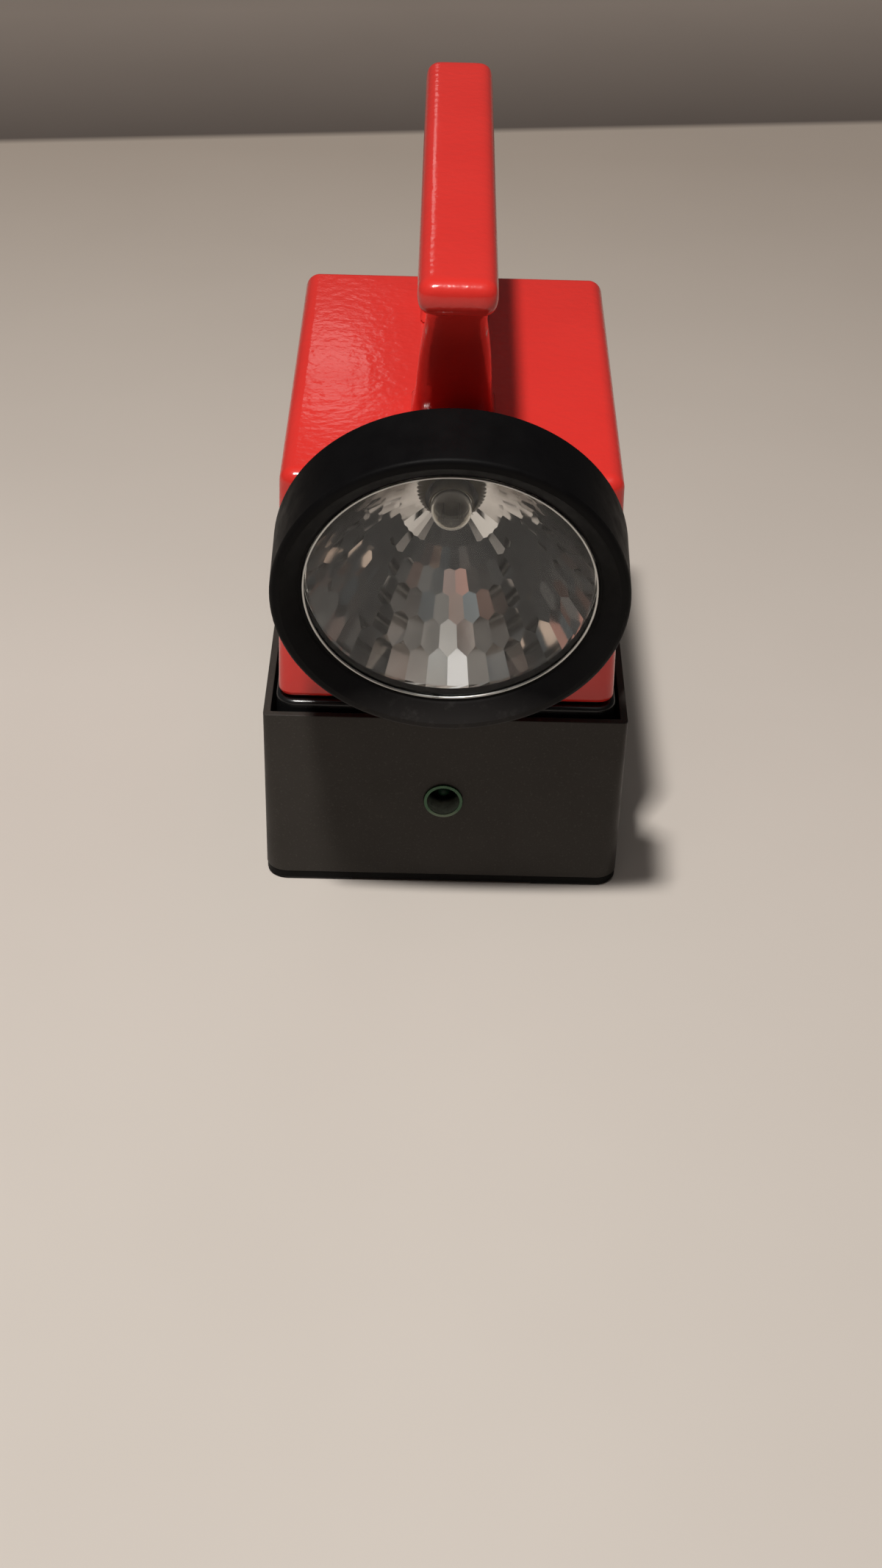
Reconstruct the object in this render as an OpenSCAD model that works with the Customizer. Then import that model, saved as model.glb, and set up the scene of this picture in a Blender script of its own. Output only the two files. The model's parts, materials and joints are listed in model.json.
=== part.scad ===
// Rechargeable hand lantern standing in its charging cradle.
// Millimetres. Origin on the table, under the middle of the whole outline.
// +X is the lantern's left hand seen from the front, +Y runs to its back, +Z is up.

/* [Housing] */
// Width across the top face
housing_w = 110; // [100:1:120]
// Depth along the top face
housing_d = 160; // [154:1:175]
// Height from the lower edge to the top face
housing_h = 84; // [80:1:96]
// Draft of the four walls, in degrees
housing_draft = 1.1; // [0.5:0.1:2]
// Wall of the casting
housing_wall = 3; // [2.5:0.1:4]
// Radius of the vertical and top edges
housing_edge_r = 5; // [4:0.5:7]
// Radius of the lower edge
housing_foot_r = 2; // [1:0.25:2.5]
// Width of the flange round the open bottom
housing_flange = 6.5; // [6:0.5:9]
// Thickness of that flange
housing_flange_t = 4; // [3:0.5:6]

/* [Lantern base] */
// Height of the black base below the housing
base_h = 23; // [21:1:30]
// How far the base stands proud of the housing
base_proud = 1; // [0.5:0.25:1.5]
// Wall of the base
base_wall = 3; // [2.5:0.25:4]
// Floor of the base
base_floor = 4; // [4:0.5:6]
// Corner radius of the base in plan
base_corner_r = 7; // [6:0.5:9]
// Radius of the upper edge of the base
base_top_r = 1.5; // [1:0.25:2]
// Thickness of the gasket between base and housing
base_gasket_t = 1; // [0.5:0.25:2]
// Radius of the base screws' shanks
base_screw_r = 1.9; // [1.5:0.1:2.2]
// Distance of the base screws from the lantern's middle, along Y
base_screw_y = 60; // [50:1:66]

/* [Head] */
// How far the head looks down, in degrees
head_tilt = 11; // [6:0.5:14]
// Centre of the front rim, ahead of the top front edge
head_reach = 44.3; // [40:0.1:46]
// Centre of the front rim, below the top face
head_drop = 19.8; // [17:0.1:23]
// Outer radius of the rubber ring
ring_r = 55.2; // [54.8:0.2:58]
// Length of the rubber ring along its axis
ring_len = 25.5; // [22:0.5:27]
// Depth of the hood in front of the glass
ring_recess = 5.5; // [5:0.5:8]
// Width of the ring's front rim
ring_rim_w = 3.7; // [3:0.1:4.5]
// Radius of glass that shows
glass_view_r = 45.6; // [44.8:0.2:46]
// Thickness of the glass
glass_t = 3; // [2:0.25:4]
// Thickness of the gasket behind the glass
glass_gasket_t = 1; // [0.5:0.25:1.5]
// Radius of the head cup's bead, which the ring grips
cup_bead_r = 51.9; // [51.4:0.1:52.2]
// Radius of the head cup's neck
cup_neck_r = 49.5; // [49:0.1:50]
// Length of the head cup's cone behind the neck
cup_cone_len = 36; // [30:1:38]
// Radius of the head cup where its cone ends
cup_tail_r = 22; // [20:0.5:25]
// Wall of the head cup
cup_wall = 3; // [2.5:0.25:3.5]

/* [Reflector] */
// Radius of the reflector's opening
reflector_r = 44; // [42:0.5:44]
// Depth from the opening to the apex
reflector_depth = 42; // [42:0.5:46]
// Facets in each row
reflector_facets = 40; // [32:2:48]
// Rows of facets
reflector_rows = 6; // [5:1:6]
// Radial pitch of the rows
reflector_pitch = 5.5; // [5:0.1:5.6]
// Wall of the reflector
reflector_wall = 1.2; // [0.8:0.1:1.6]
// Radius of the hole for the lamp
reflector_hole_r = 8.6; // [8.4:0.1:9.4]
// Radius of the lamp's glass
bulb_r = 6.5; // [5.5:0.25:6.75]
// Length of glass that stands out of the lamp's cap
bulb_len = 12; // [12:0.5:18]
// Radius of the lamp's cap
bulb_cap_r = 7.2; // [7:0.1:7.6]

/* [Handle] */
// Top of the handle bar above the housing
handle_h = 72; // [64:1:82]
// Width of the bar
handle_w = 24; // [21:0.5:28]
// Thickness of the bar
handle_t = 11.5; // [10:0.5:14]
// Radius of the bar's edges
handle_edge_r = 4.5; // [3:0.25:4.75]
// Bar's reach ahead of the top front edge
handle_front = 17.8; // [14:0.2:22]
// Bar's reach behind the top rear edge
handle_rear = 24.7; // [20:0.1:28]
// Width of a post at its waist
post_w = 17.8; // [16:0.2:20]
// Length of a post along the bar at its waist
post_t = 15; // [13:0.5:18]
// Width of a post's foot
post_foot_w = 28.2; // [25:0.2:31]
// Length of a post's foot
post_foot_t = 26; // [24:0.5:30]
// Middle of the front foot behind the top front edge
front_foot_y = 49; // [48:0.5:54]
// Middle of the rear foot ahead of the top rear edge
rear_foot_y = 34; // [28:0.5:40]
// Radius of the handle screws' shanks
handle_screw_r = 2.4; // [2:0.1:3]
// Half the spacing of the two screws in a foot
handle_screw_x = 6.5; // [6:0.25:8]

/* [Switch] */
// Switch axis below the top face
switch_drop = 36; // [32:0.5:38]
// Radius of the raised seat on the rear wall
switch_seat_r = 16; // [15:0.5:18]
// Height of the seat above the rear wall's lower edge
switch_seat_t = 1.6; // [1.4:0.1:3]
// Radius of the switch shaft
shaft_r = 3; // [2.5:0.25:3.5]
// Radius of the switch's threaded neck
neck_r = 5; // [4.5:0.25:5.5]
// Radius of the knob's skirt
knob_r = 15; // [14:0.5:16]
// Length of the knob
knob_len = 18; // [16:0.5:22]
// Grip flutes round the knob
knob_flutes = 12; // [8:1:16]
// Side of the switch's square body
switch_side = 24; // [20:0.5:26]
// Depth of the switch's body
switch_depth = 14; // [12:0.5:18]

/* [Battery] */
// Space between the battery's top and the switch
battery_headroom = 6; // [4:0.5:14]
// Thickness of the pads under the battery
pad_t = 2; // [1.5:0.25:3]
// Thickness of the hold-down strap
strap_t = 1.2; // [1:0.1:1.6]
// Width of the hold-down strap
strap_w = 18; // [14:0.5:24]
// Clearance between battery and strap
battery_gap = 0.3; // [0.2:0.1:0.6]

/* [Cradle] */
// Height of the seat that the lantern stands on
seat_z = 50; // [48:0.5:54]
// Depth of the tray's pocket above the seat
pocket_depth = 19.8; // [14:0.2:22]
// Gap between the lantern's base and the tray
tray_gap = 1.5; // [1:0.1:2.5]
// Wall of the tray
tray_wall = 2.4; // [2:0.1:3]
// Thickness of the seat
seat_t = 3; // [2.5:0.25:3.5]
// Corner radius at the tray's rim
rim_corner_r = 1.5; // [1:0.25:3]
// Corner radius at the tray's foot
foot_corner_r = 7.5; // [6:0.5:9]
// How far each wall leans out from rim to foot
tray_lean = 0.5; // [0.2:0.1:1]
// Thickness of the base plate
plate_t = 2.8; // [2:0.1:3.2]
// Inset of the base plate from the tray's foot
plate_inset = 0.2; // [0.1:0.1:1.5]
// Height of the feet
foot_t = 1; // [0.8:0.1:2]
// Length of a foot along the front
foot_len = 30; // [24:1:36]
// Radius of the plate screws' shanks
plate_screw_r = 1.5; // [1.3:0.1:1.8]

/* [Charging contacts] */
// Half the distance between the two contacts
contact_x = 25; // [22:0.5:28]
// Radius of a contact pin
pin_r = 3; // [2.5:0.1:3.2]
// How far a pin stands above the seat, and its travel
pin_travel = 2; // [1.5:0.1:2.2]
// Wire diameter of the contact springs
spring_wire = 0.8; // [0.6:0.05:0.9]
// Mean radius of the contact springs
spring_r = 4.3; // [4.1:0.05:4.4]
// Turns of each contact spring
spring_turns = 4; // [3:1:4]

/* [Charger] */
// Height of the indicator and its bezel above the table
indicator_z = 36; // [30:0.5:38]
// Outer radius of the indicator's bezel
bezel_r = 6.65; // [6:0.05:6.7]
// Wall of the indicator's bezel
bezel_wall = 1; // [0.7:0.05:1.3]
// Depth of the indicator's cup
bezel_depth = 12; // [10:0.5:14]
// Sideways place of the supply inlet
inlet_x = 35; // [32:0.5:38]
// Height of the supply inlet
inlet_z = 23; // [21:0.5:26]
// Bore radius of the supply grommet
inlet_r = 3.5; // [3:0.1:4]
// Length of the supply grommet
inlet_len = 8; // [7:0.5:10]
// Width of the transformer's core
core_w = 42; // [38:1:46]
// Height of the transformer's core
core_h = 34; // [30:0.5:34]
// Stack of the transformer's core
core_t = 18; // [14:0.5:22]
// Diameter of the insulated leads
lead_d = 2.2; // [1.6:0.1:2.4]

/* [Hidden] */
$fn = 64;
hull_fn = 32;
clear = 0.1;
slip = 0.3;
run_fit = 0.05;
eps = 0.01;
over = 1;

red = "#d8322a";
black = "#161616";
dark_grey = "#2b2926";
steel = "#b9bcc0";
brass = "#c9a452";
nylon = "#d9d6cc";
board_green = "#2e6b3a";

plate_z = foot_t;
tray_z = foot_t + plate_t;
rim_z = seat_z + pocket_depth;
base_top_z = seat_z + base_h;
foot_z = base_top_z + base_gasket_t;
top_z = foot_z + housing_h;
front_y = -housing_d / 2;
rear_y = housing_d / 2;
draft_out = housing_h * tan(housing_draft);
foot_w = housing_w + 2 * draft_out;
foot_d = housing_d + 2 * draft_out;
base_w = foot_w + 2 * base_proud;
base_d = foot_d + 2 * base_proud;
tray_w = base_w + 2 * (tray_gap + tray_wall);
tray_d = base_d + 2 * (tray_gap + tray_wall);

opening_w = foot_w - 2 * housing_flange;
opening_d = foot_d - 2 * housing_flange;
pillar_r = base_screw_r + 2.5;
pillar_x = base_w / 2 - base_wall - pillar_r + 0.3;
gasket_out = housing_foot_r + 0.3;

glass_s = ring_recess;
glass_back_s = glass_s + glass_t;
mirror_s = glass_back_s + glass_gasket_t;
mirror_flange_t = 1.2;
cup_s = mirror_s + mirror_flange_t;
ring_hook = 2.8;
ring_lip = 1.6;
bead_end_s = ring_len - ring_hook - 0.2;
cone_s = ring_len + 3;
cone_end_s = cone_s + cup_cone_len;
cup_end_s = cone_end_s + 14;
flange_r = cup_bead_r - 1.7;

focus = reflector_r * reflector_r / (4 * reflector_depth);
rim_roll = 0.5;
apex_s = mirror_s + rim_roll + reflector_depth;
half_step = 180 / reflector_facets;
lines = 2 * reflector_facets;

cap_s = apex_s - 4.5;
cap_len = 13;
bulb_tip_s = cap_s - bulb_len + 3;
holder_s = apex_s - facet_z(0, reflector_hole_r, false) + reflector_wall + clear;
holder_end_s = cap_s + cap_len + 6;
holder_r = bulb_cap_r + clear + 2.6;
holder_tab = 3;

switch_z = top_z - switch_drop;
battery_z = seat_z + base_floor + pad_t;
battery_top_z = switch_z - switch_side / 2 - battery_headroom;
battery_h = battery_top_z - battery_z;
battery_w = 2 * (pillar_x - pillar_r - 1.6 - strap_t - battery_gap);
battery_d = opening_d - 3;
seat_y = rear_y + draft_out + switch_seat_t;
boss_in_y = rear_y - housing_wall - 6;
board_t = 1.6;
board_y = boss_in_y - switch_depth - board_t;
board_z = battery_top_z + 2;
board_top_z = switch_z + switch_side / 2 + 3;

outline_y0 = front_y - head_reach - (ring_r - ring_lip) * sin(head_tilt)
    - ring_lip * (1 - cos(head_tilt));
outline_y1 = rear_y + handle_rear;
mid_y = -(outline_y0 + outline_y1) / 2;

chamber_r = spring_r + spring_wire / 2 + 0.7;
collar_r = chamber_r - 0.3;
guide_len = 6;
chamber_top_z = seat_z - seat_t - guide_len;
collar_t = 1.7;
collar_z = chamber_top_z - slip - collar_t;
spring_len = 10.5;
spring_z = collar_z - spring_len;
terminal_t = 1.2;

// Shapes shared by several pieces

module rounded_rect(w, d, r) {
    square([w - 2 * r, d], center = true);
    square([w, d - 2 * r], center = true);
    for (x = [-1, 1], y = [-1, 1]) {
        translate([x * (w / 2 - r), y * (d / 2 - r)]) circle(r);
    }
}

module rounded_plate(w, d, h, r) {
    linear_extrude(h) rounded_rect(w, d, r);
}

module corners(w, d, r) {
    for (x = [-1, 1], y = [-1, 1]) {
        translate([x * (w / 2 - r), y * (d / 2 - r), 0]) children();
    }
}

module ball(r) {
    rotate_extrude($fn = hull_fn) intersection() {
        circle(r, $fn = hull_fn);
        translate([0, -r]) square([r, 2 * r]);
    }
}

// A short round post whose upper or lower edge is rounded by e
module edge_post(r, h, e) {
    rotate_extrude($fn = hull_fn) {
        square([r, h - e]);
        square([r - e, h]);
        translate([r - e, h - e]) intersection() {
            circle(e, $fn = hull_fn);
            square(e);
        }
    }
}

// A drafted box with rounded vertical and top edges
module drafted_box(w, d, h, draft, edge_r, foot_r) {
    grow = h * tan(draft);
    hull() {
        translate([0, 0, h - edge_r]) corners(w, d, edge_r) ball(edge_r);
        translate([0, 0, foot_r]) mirror([0, 0, 1]) {
            corners(w + 2 * grow, d + 2 * grow, edge_r) edge_post(edge_r, foot_r, foot_r - eps);
        }
    }
}

// Outline of a rounded rectangle, as points for a loft
function rect_points(w, t, r, steps) = [
    for (q = [0:3]) for (j = [0:steps])
        let (a = 90 * q + 90 * j / steps)
        [(q == 0 || q == 3 ? 1 : -1) * (w / 2 - r) + r * cos(a),
         (q < 2 ? 1 : -1) * (t / 2 - r) + r * sin(a)]
];

// Level sections [z, y, w, t, r] skinned into one solid
module loft(sections, steps = 5) {
    n = 4 * (steps + 1);
    last = len(sections) - 1;
    points = [
        for (s = sections) for (p = rect_points(s[2], s[3], s[4], steps))
            [p[0], p[1] + s[1], s[0]]
    ];
    sides = [
        for (k = [0:last - 1]) for (i = [0:n - 1])
            let (a = k * n + i, b = k * n + (i + 1) % n)
            each [[a, b + n, b], [a, a + n, b + n]]
    ];
    caps = [[for (i = [0:n - 1]) i], [for (i = [n - 1:-1:0]) last * n + i]];
    polyhedron(points, concat(sides, caps));
}

// A round wire along a list of points; side gives a direction square to each step
module wire(path, sides_at, r, sides) {
    last = len(path) - 1;
    function along(i) = path[min(i + 1, last)] - path[max(i - 1, 0)];
    function up(i) = let (c = cross(along(i), sides_at[i])) c / norm(c);
    function out(i) = let (c = cross(up(i), along(i))) c / norm(c);
    points = [
        for (i = [0:last]) for (j = [0:sides - 1])
            path[i] + r * (cos(360 * j / sides) * out(i) + sin(360 * j / sides) * up(i))
    ];
    skin = [
        for (i = [0:last - 1]) for (j = [0:sides - 1])
            let (a = i * sides + j, b = i * sides + (j + 1) % sides)
            each [[a, b, b + sides], [a, b + sides, a + sides]]
    ];
    caps = [
        [for (j = [sides - 1:-1:0]) j],
        [for (j = [0:sides - 1]) last * sides + j]
    ];
    polyhedron(points, concat(skin, caps));
}

// A smooth path of steps points through four control points
function bend(p, steps) = [
    for (i = [0:steps])
        let (t = i / steps, u = 1 - t)
        u * u * u * p[0] + 3 * u * u * t * p[1] + 3 * u * t * t * p[2] + t * t * t * p[3]
];

module lead(p, side, steps = 14) {
    path = bend(p, steps);
    wire(path, [for (i = [0:steps]) side], lead_d / 2, 8);
}

module screw(r, len, head_r, head_h) {
    cylinder(h = len, r = r);
    translate([0, 0, -head_h]) difference() {
        cylinder(h = head_h, r = head_r);
        translate([0, 0, -over]) cylinder(h = head_h / 2 + over, r = head_r / 2, $fn = 6);
    }
}

// Brings the middle of the whole outline over the origin
module placed() {
    translate([0, mid_y, 0]) children();
}

// Places along the head's own axis: s counts from the front rim towards the back
module on_head() {
    translate([0, front_y - head_reach, top_z - head_drop]) {
        rotate([head_tilt - 90, 0, 0]) children();
    }
}

function head_point(x, up, s) = [
    x,
    front_y - head_reach + s * cos(head_tilt) - up * sin(head_tilt),
    top_z - head_drop + s * sin(head_tilt) + up * cos(head_tilt)
];

module ring_cut(r_out, r_in, s0, s1) {
    rotate_extrude() translate([r_in, s0]) square([r_out - r_in, s1 - s0]);
}

// Housing casting with its head cup

module cup_solid(shrink, s0) {
    rotate_extrude($fn = 96) polygon([
        [0, s0],
        [cup_neck_r - shrink, s0],
        [cup_neck_r - shrink, cone_s],
        [cup_neck_r - shrink - 1.2, cone_s + 3],
        [cup_tail_r - shrink, cone_end_s],
        [cup_tail_r - shrink - 4, cone_end_s + 4.5],
        [cup_tail_r - shrink - 10, cup_end_s - shrink - 1.5],
        [cup_tail_r - shrink - 15, cup_end_s - shrink],
        [0, cup_end_s - shrink]
    ]);
}

module housing_outside() {
    translate([0, 0, foot_z]) {
        drafted_box(housing_w, housing_d, housing_h, housing_draft, housing_edge_r, housing_foot_r);
    }
    on_head() {
        cup_solid(0, cup_s);
        ring_cut(cup_bead_r, cup_neck_r - 2, cup_s, bead_end_s);
    }
    translate([0, seat_y, switch_z]) rotate([90, 0, 0]) {
        cylinder(h = seat_y - boss_in_y, r = switch_seat_r);
    }
}

module housing_hollow() {
    inner_r = housing_edge_r - housing_wall + 1;
    difference() {
        translate([0, 0, foot_z + housing_flange_t]) {
            drafted_box(
                housing_w - 2 * housing_wall, housing_d - 2 * housing_wall,
                housing_h - housing_wall - housing_flange_t, housing_draft, inner_r, 0.5
            );
        }
        translate([0, seat_y, switch_z]) rotate([90, 0, 0]) {
            cylinder(h = seat_y - boss_in_y, r = switch_seat_r);
        }
    }
    translate([0, 0, foot_z - over]) {
        rounded_plate(opening_w, opening_d, housing_flange_t + 2 * over, 4);
    }
    on_head() cup_solid(cup_wall, cup_s - over);
}

module screw_pillars(z, h) {
    for (x = [-1, 1], y = [-1, 1]) {
        translate([x * pillar_x, y * base_screw_y, z]) cylinder(h = h, r = pillar_r);
    }
}

pillar_h = 18;

module housing() {
    color(red) placed() difference() {
        union() {
            difference() {
                housing_outside();
                housing_hollow();
            }
            intersection() {
                screw_pillars(foot_z, pillar_h);
                translate([0, 0, foot_z]) {
                    linear_extrude(pillar_h) square([foot_w - housing_wall, foot_d], center = true);
                }
            }
        }
        for (x = [-1, 1], y = [-1, 1]) {
            translate([x * pillar_x, y * base_screw_y, foot_z - over]) {
                cylinder(h = pillar_h - 2 + over, r = base_screw_r + clear);
            }
        }
        for (x = [-1, 1], y = [front_screw_y, rear_screw_y]) {
            translate([x * handle_screw_x, y, top_z - housing_wall - over]) {
                cylinder(h = housing_wall + 2 * over, r = handle_screw_r + clear);
            }
        }
        translate([0, seat_y + over, switch_z]) rotate([90, 0, 0]) {
            cylinder(h = seat_y - boss_in_y + 2 * over, r = neck_r + clear);
        }
    }
}

// Handle: a level bar on two leaning posts

bar_y0 = front_y - handle_front;
bar_y1 = rear_y + handle_rear;
bar_mid_z = top_z + handle_h - handle_t / 2;
bar_low_z = top_z + handle_h - handle_t;
crown_t = 6;
crown_in = 1;
post_top_y0 = bar_y0 + crown_in + (post_t + crown_t) / 2;
post_top_y1 = bar_y1 - crown_in - (post_t + crown_t) / 2;
foot_y0 = front_y + front_foot_y;
foot_y1 = rear_y - rear_foot_y;
screw_lean = 4;
screw_bite = 8;
front_screw_y = foot_y0 - screw_lean;
rear_screw_y = foot_y1 + screw_lean;

// One post from its foot to the bar; flare widens it at both ends
module post(y_foot, y_top) {
    rise = bar_mid_z - top_z;
    foot_flare = 14;
    foot_lip = 3;
    top_flare = 13;
    crown_drop = 3;
    function mix(z) = z / rise;
    function flare(z) = pow(max(0, 1 - z / foot_flare), 2);
    function crown(z) = pow(max(0, 1 - max(0, rise - crown_drop - z) / top_flare), 2);
    function swell(z) = 1 - pow(min(1, z / (rise - 13)), 2);
    function wide(z) = post_w + (post_foot_w - post_w - foot_lip) * swell(z)
        + foot_lip * flare(z) + (handle_w - post_w - 1) * crown(z);
    function deep(z) = post_t + (post_foot_t - post_t) * flare(z) + crown_t * crown(z);
    levels = [0, 2, 5, 9, 14, 22, 32, 42, rise - 16, rise - 11, rise - 7, rise - 3, rise];
    loft([
        for (z = levels)
            [top_z + z, y_foot + (y_top - y_foot) * mix(z), wide(z), deep(z), 3.6]
    ]);
}

module handle() {
    color(red) placed() difference() {
        union() {
            hull() {
                for (
                    x = [-1, 1] * (handle_w / 2 - handle_edge_r),
                    y = [bar_y0 + handle_edge_r, bar_y1 - handle_edge_r],
                    z = [-1, 1] * (handle_t / 2 - handle_edge_r)
                ) {
                    translate([x, y, bar_mid_z + z]) ball(handle_edge_r);
                }
            }
            post(foot_y0, post_top_y0);
            post(foot_y1, post_top_y1);
        }
        for (x = [-1, 1], y = [front_screw_y, rear_screw_y]) {
            translate([x * handle_screw_x, y, top_z - over]) {
                cylinder(h = screw_bite + 1 + over, r = handle_screw_r + clear);
            }
        }
    }
}

module handle_screws() {
    color(steel) placed() for (x = [-1, 1], y = [front_screw_y, rear_screw_y]) {
        translate([x * handle_screw_x, y, top_z - housing_wall]) {
            screw(handle_screw_r, housing_wall + screw_bite, handle_screw_r + 2, 3);
        }
    }
}

// Head: rubber ring, glass, gasket and faceted reflector

module head_ring() {
    rim_in = ring_r - ring_rim_w;
    lip = ring_lip;
    pocket_r = flange_r + 0.4;
    grip_r = cup_bead_r + clear;
    hook_r = cup_neck_r + clear;
    color(black) placed() on_head() rotate_extrude($fn = 128) difference() {
        union() {
            polygon([
                [glass_view_r, glass_s],
                [glass_view_r, glass_s - 0.3],
                [glass_view_r + 0.8, glass_s - 0.7],
                [glass_view_r + 1.4, glass_s - 1.4],
                [rim_in, 0.5],
                [rim_in + 0.7, 0],
                [ring_r - lip, 0],
                [ring_r - lip, lip],
                [ring_r, lip],
                [ring_r, ring_len - 1],
                [ring_r - 1, ring_len],
                [hook_r, ring_len],
                [hook_r, glass_s]
            ]);
            translate([ring_r - lip, lip]) circle(lip);
        }
        translate([0, glass_s]) square([pocket_r, mirror_s - glass_s + eps]);
        translate([0, mirror_s]) square([grip_r, bead_end_s + clear - mirror_s]);
    }
}

module lens() {
    bevel = 0.4;
    edge_r = flange_r;
    color([0.85, 0.92, 0.95, 0.35]) placed() on_head() rotate_extrude($fn = 128) polygon([
        [0, glass_s], [edge_r - bevel, glass_s], [edge_r, glass_s + bevel],
        [edge_r, glass_back_s - bevel], [edge_r - bevel, glass_back_s], [0, glass_back_s]
    ]);
}

flange_show = 4.2;

module lens_gasket() {
    color(black) placed() on_head() ring_cut(flange_r, reflector_r + flange_show, glass_back_s, mirror_s);
}

// Each facet is a plane that touches the paraboloid at the middle of its cell. The cells of
// staggered rows meet on radial lines, at the centres of circles through three touching points.
function row_r(k) = reflector_r - reflector_pitch * (reflector_rows - k - 0.5);
function peak_r(k) = (pow(row_r(k + 1), 2) - pow(row_r(k), 2))
    / (2 * (row_r(k + 1) * cos(half_step) - row_r(k)));
function valley_r(k) = (pow(row_r(k + 1), 2) - pow(row_r(k), 2))
    / (2 * (row_r(k + 1) - row_r(k) * cos(half_step)));
function facet_z(k, r, on_line) = (2 * row_r(k) * r * (on_line ? 1 : cos(half_step))
    - pow(row_r(k), 2)) / (4 * focus);

// Vertex [r, depth in front of the apex] of border j on radial line m
function border(j, m) =
    j == 0 ? [reflector_hole_r, facet_z(0, reflector_hole_r, m % 2 == 0)]
    : j == reflector_rows ? [reflector_r, facet_z(j - 1, reflector_r, (m + j - 1) % 2 == 0)]
    : (m + j - 1) % 2 == 0 ? [peak_r(j - 1), facet_z(j - 1, peak_r(j - 1), true)]
    : [valley_r(j - 1), facet_z(j, valley_r(j - 1), true)];

function behind(v) =
    let (lean = atan(v[0] / (2 * focus)))
    [v[0] + reflector_wall * sin(lean), v[1] - reflector_wall * cos(lean)];

module reflector() {
    front_z = reflector_depth + rim_roll;
    back_z = front_z - mirror_flange_t;
    loops = [
        for (j = [0:reflector_rows]) [for (m = [0:lines - 1]) border(j, m)],
        [for (m = [0:lines - 1]) [reflector_r + 0.4, front_z]],
        [for (m = [0:lines - 1]) [flange_r, front_z]],
        [for (m = [0:lines - 1]) [flange_r, back_z]],
        [for (m = [0:lines - 1]) [reflector_r + reflector_wall + 1, back_z]],
        for (j = [reflector_rows:-1:0]) [for (m = [0:lines - 1]) behind(border(j, m))]
    ];
    count = len(loops);
    points = [
        for (k = [0:count - 1]) for (m = [0:lines - 1])
            let (v = loops[k][m], a = half_step * m)
            [v[0] * cos(a), v[0] * sin(a), apex_s - v[1]]
    ];
    skin = [
        for (k = [0:count - 1]) for (m = [0:lines - 1])
            let (
                a = k * lines + m, b = k * lines + (m + 1) % lines,
                c = ((k + 1) % count) * lines + m, d = ((k + 1) % count) * lines + (m + 1) % lines
            )
            each [[a, b, d], [a, d, c]]
    ];
    color("#d7dadd") placed() on_head() polyhedron(points, skin);
}

// Lamp and its holder

module bulb_glass() {
    wall = 0.6;
    neck = 0.5;
    color([0.9, 0.93, 0.95, 0.35]) placed() on_head() rotate_extrude() difference() {
        union() {
            translate([0, bulb_tip_s + bulb_r]) intersection() {
                circle(bulb_r);
                translate([0, -bulb_r]) square([bulb_r, 2 * bulb_r]);
            }
            translate([0, bulb_tip_s + bulb_r]) square([bulb_r, cap_s + neck - bulb_tip_s - bulb_r]);
        }
        translate([0, bulb_tip_s + bulb_r]) circle(bulb_r - wall);
        translate([-over, bulb_tip_s + bulb_r]) square([bulb_r - wall + over, cap_len]);
        translate([-bulb_r, bulb_tip_s - over]) square([bulb_r, cap_len + 2 * bulb_len]);
    }
}

module bulb_filament() {
    coil_s = apex_s - focus;
    coil_len = 5;
    post_r = 0.35;
    color("#8d8f93") placed() on_head() {
        for (x = [-1, 1]) {
            translate([x * coil_len / 2, 0, coil_s - post_r]) {
                cylinder(h = cap_s + 1.2 - coil_s + post_r, r = post_r, $fn = 16);
            }
        }
        translate([-coil_len / 2, 0, coil_s]) rotate([0, 90, 0]) cylinder(h = coil_len, r = 0.3, $fn = 16);
        translate([0, 0, cap_s + 0.9]) cylinder(h = 0.6, r = bulb_r - 1);
    }
}

module bulb_cap() {
    color(brass) placed() on_head() {
        ring_cut(bulb_cap_r, bulb_r + clear, cap_s, cap_s + 1.5);
        translate([0, 0, cap_s + 1.5]) cylinder(h = cap_len - 1.5, r = bulb_cap_r);
        translate([0, 0, cap_s + cap_len]) cylinder(h = 1.2, r1 = bulb_cap_r - 1.5, r2 = 3);
    }
}

module bulb_contact() {
    color(brass) placed() on_head() {
        translate([0, 0, cap_s + cap_len + 1.2]) cylinder(h = 1.2, r = 3.2);
        translate([0, 0, cap_s + cap_len + 2.4]) cylinder(h = 1.6, r = 5);
    }
}

module bulb_holder() {
    color(nylon) placed() on_head() difference() {
        union() {
            translate([0, 0, holder_s]) cylinder(h = holder_end_s - holder_s, r = holder_r);
            translate([0, 0, holder_s]) cylinder(h = 2.2, r = holder_r + 3);
            for (x = [-1, 1]) {
                translate([x * 4 - 1, -2.5, holder_end_s - eps]) cube([2, 5, holder_tab + eps]);
            }
        }
        translate([0, 0, holder_s - over]) {
            cylinder(h = cap_s + cap_len + 4 - holder_s + over, r = bulb_cap_r + clear);
        }
    }
}

// Lantern base with gasket, screws and charging contacts

pocket_r = 7.5;
contact_pad_r = 6.5;
contact_pad_t = 1.2;
tag_x = pillar_x - pillar_r + 3;
tag_y = strap_w / 2 + 5;
tag_w = 5;
tag_t = 0.8;
head_recess = 5.5;

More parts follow.
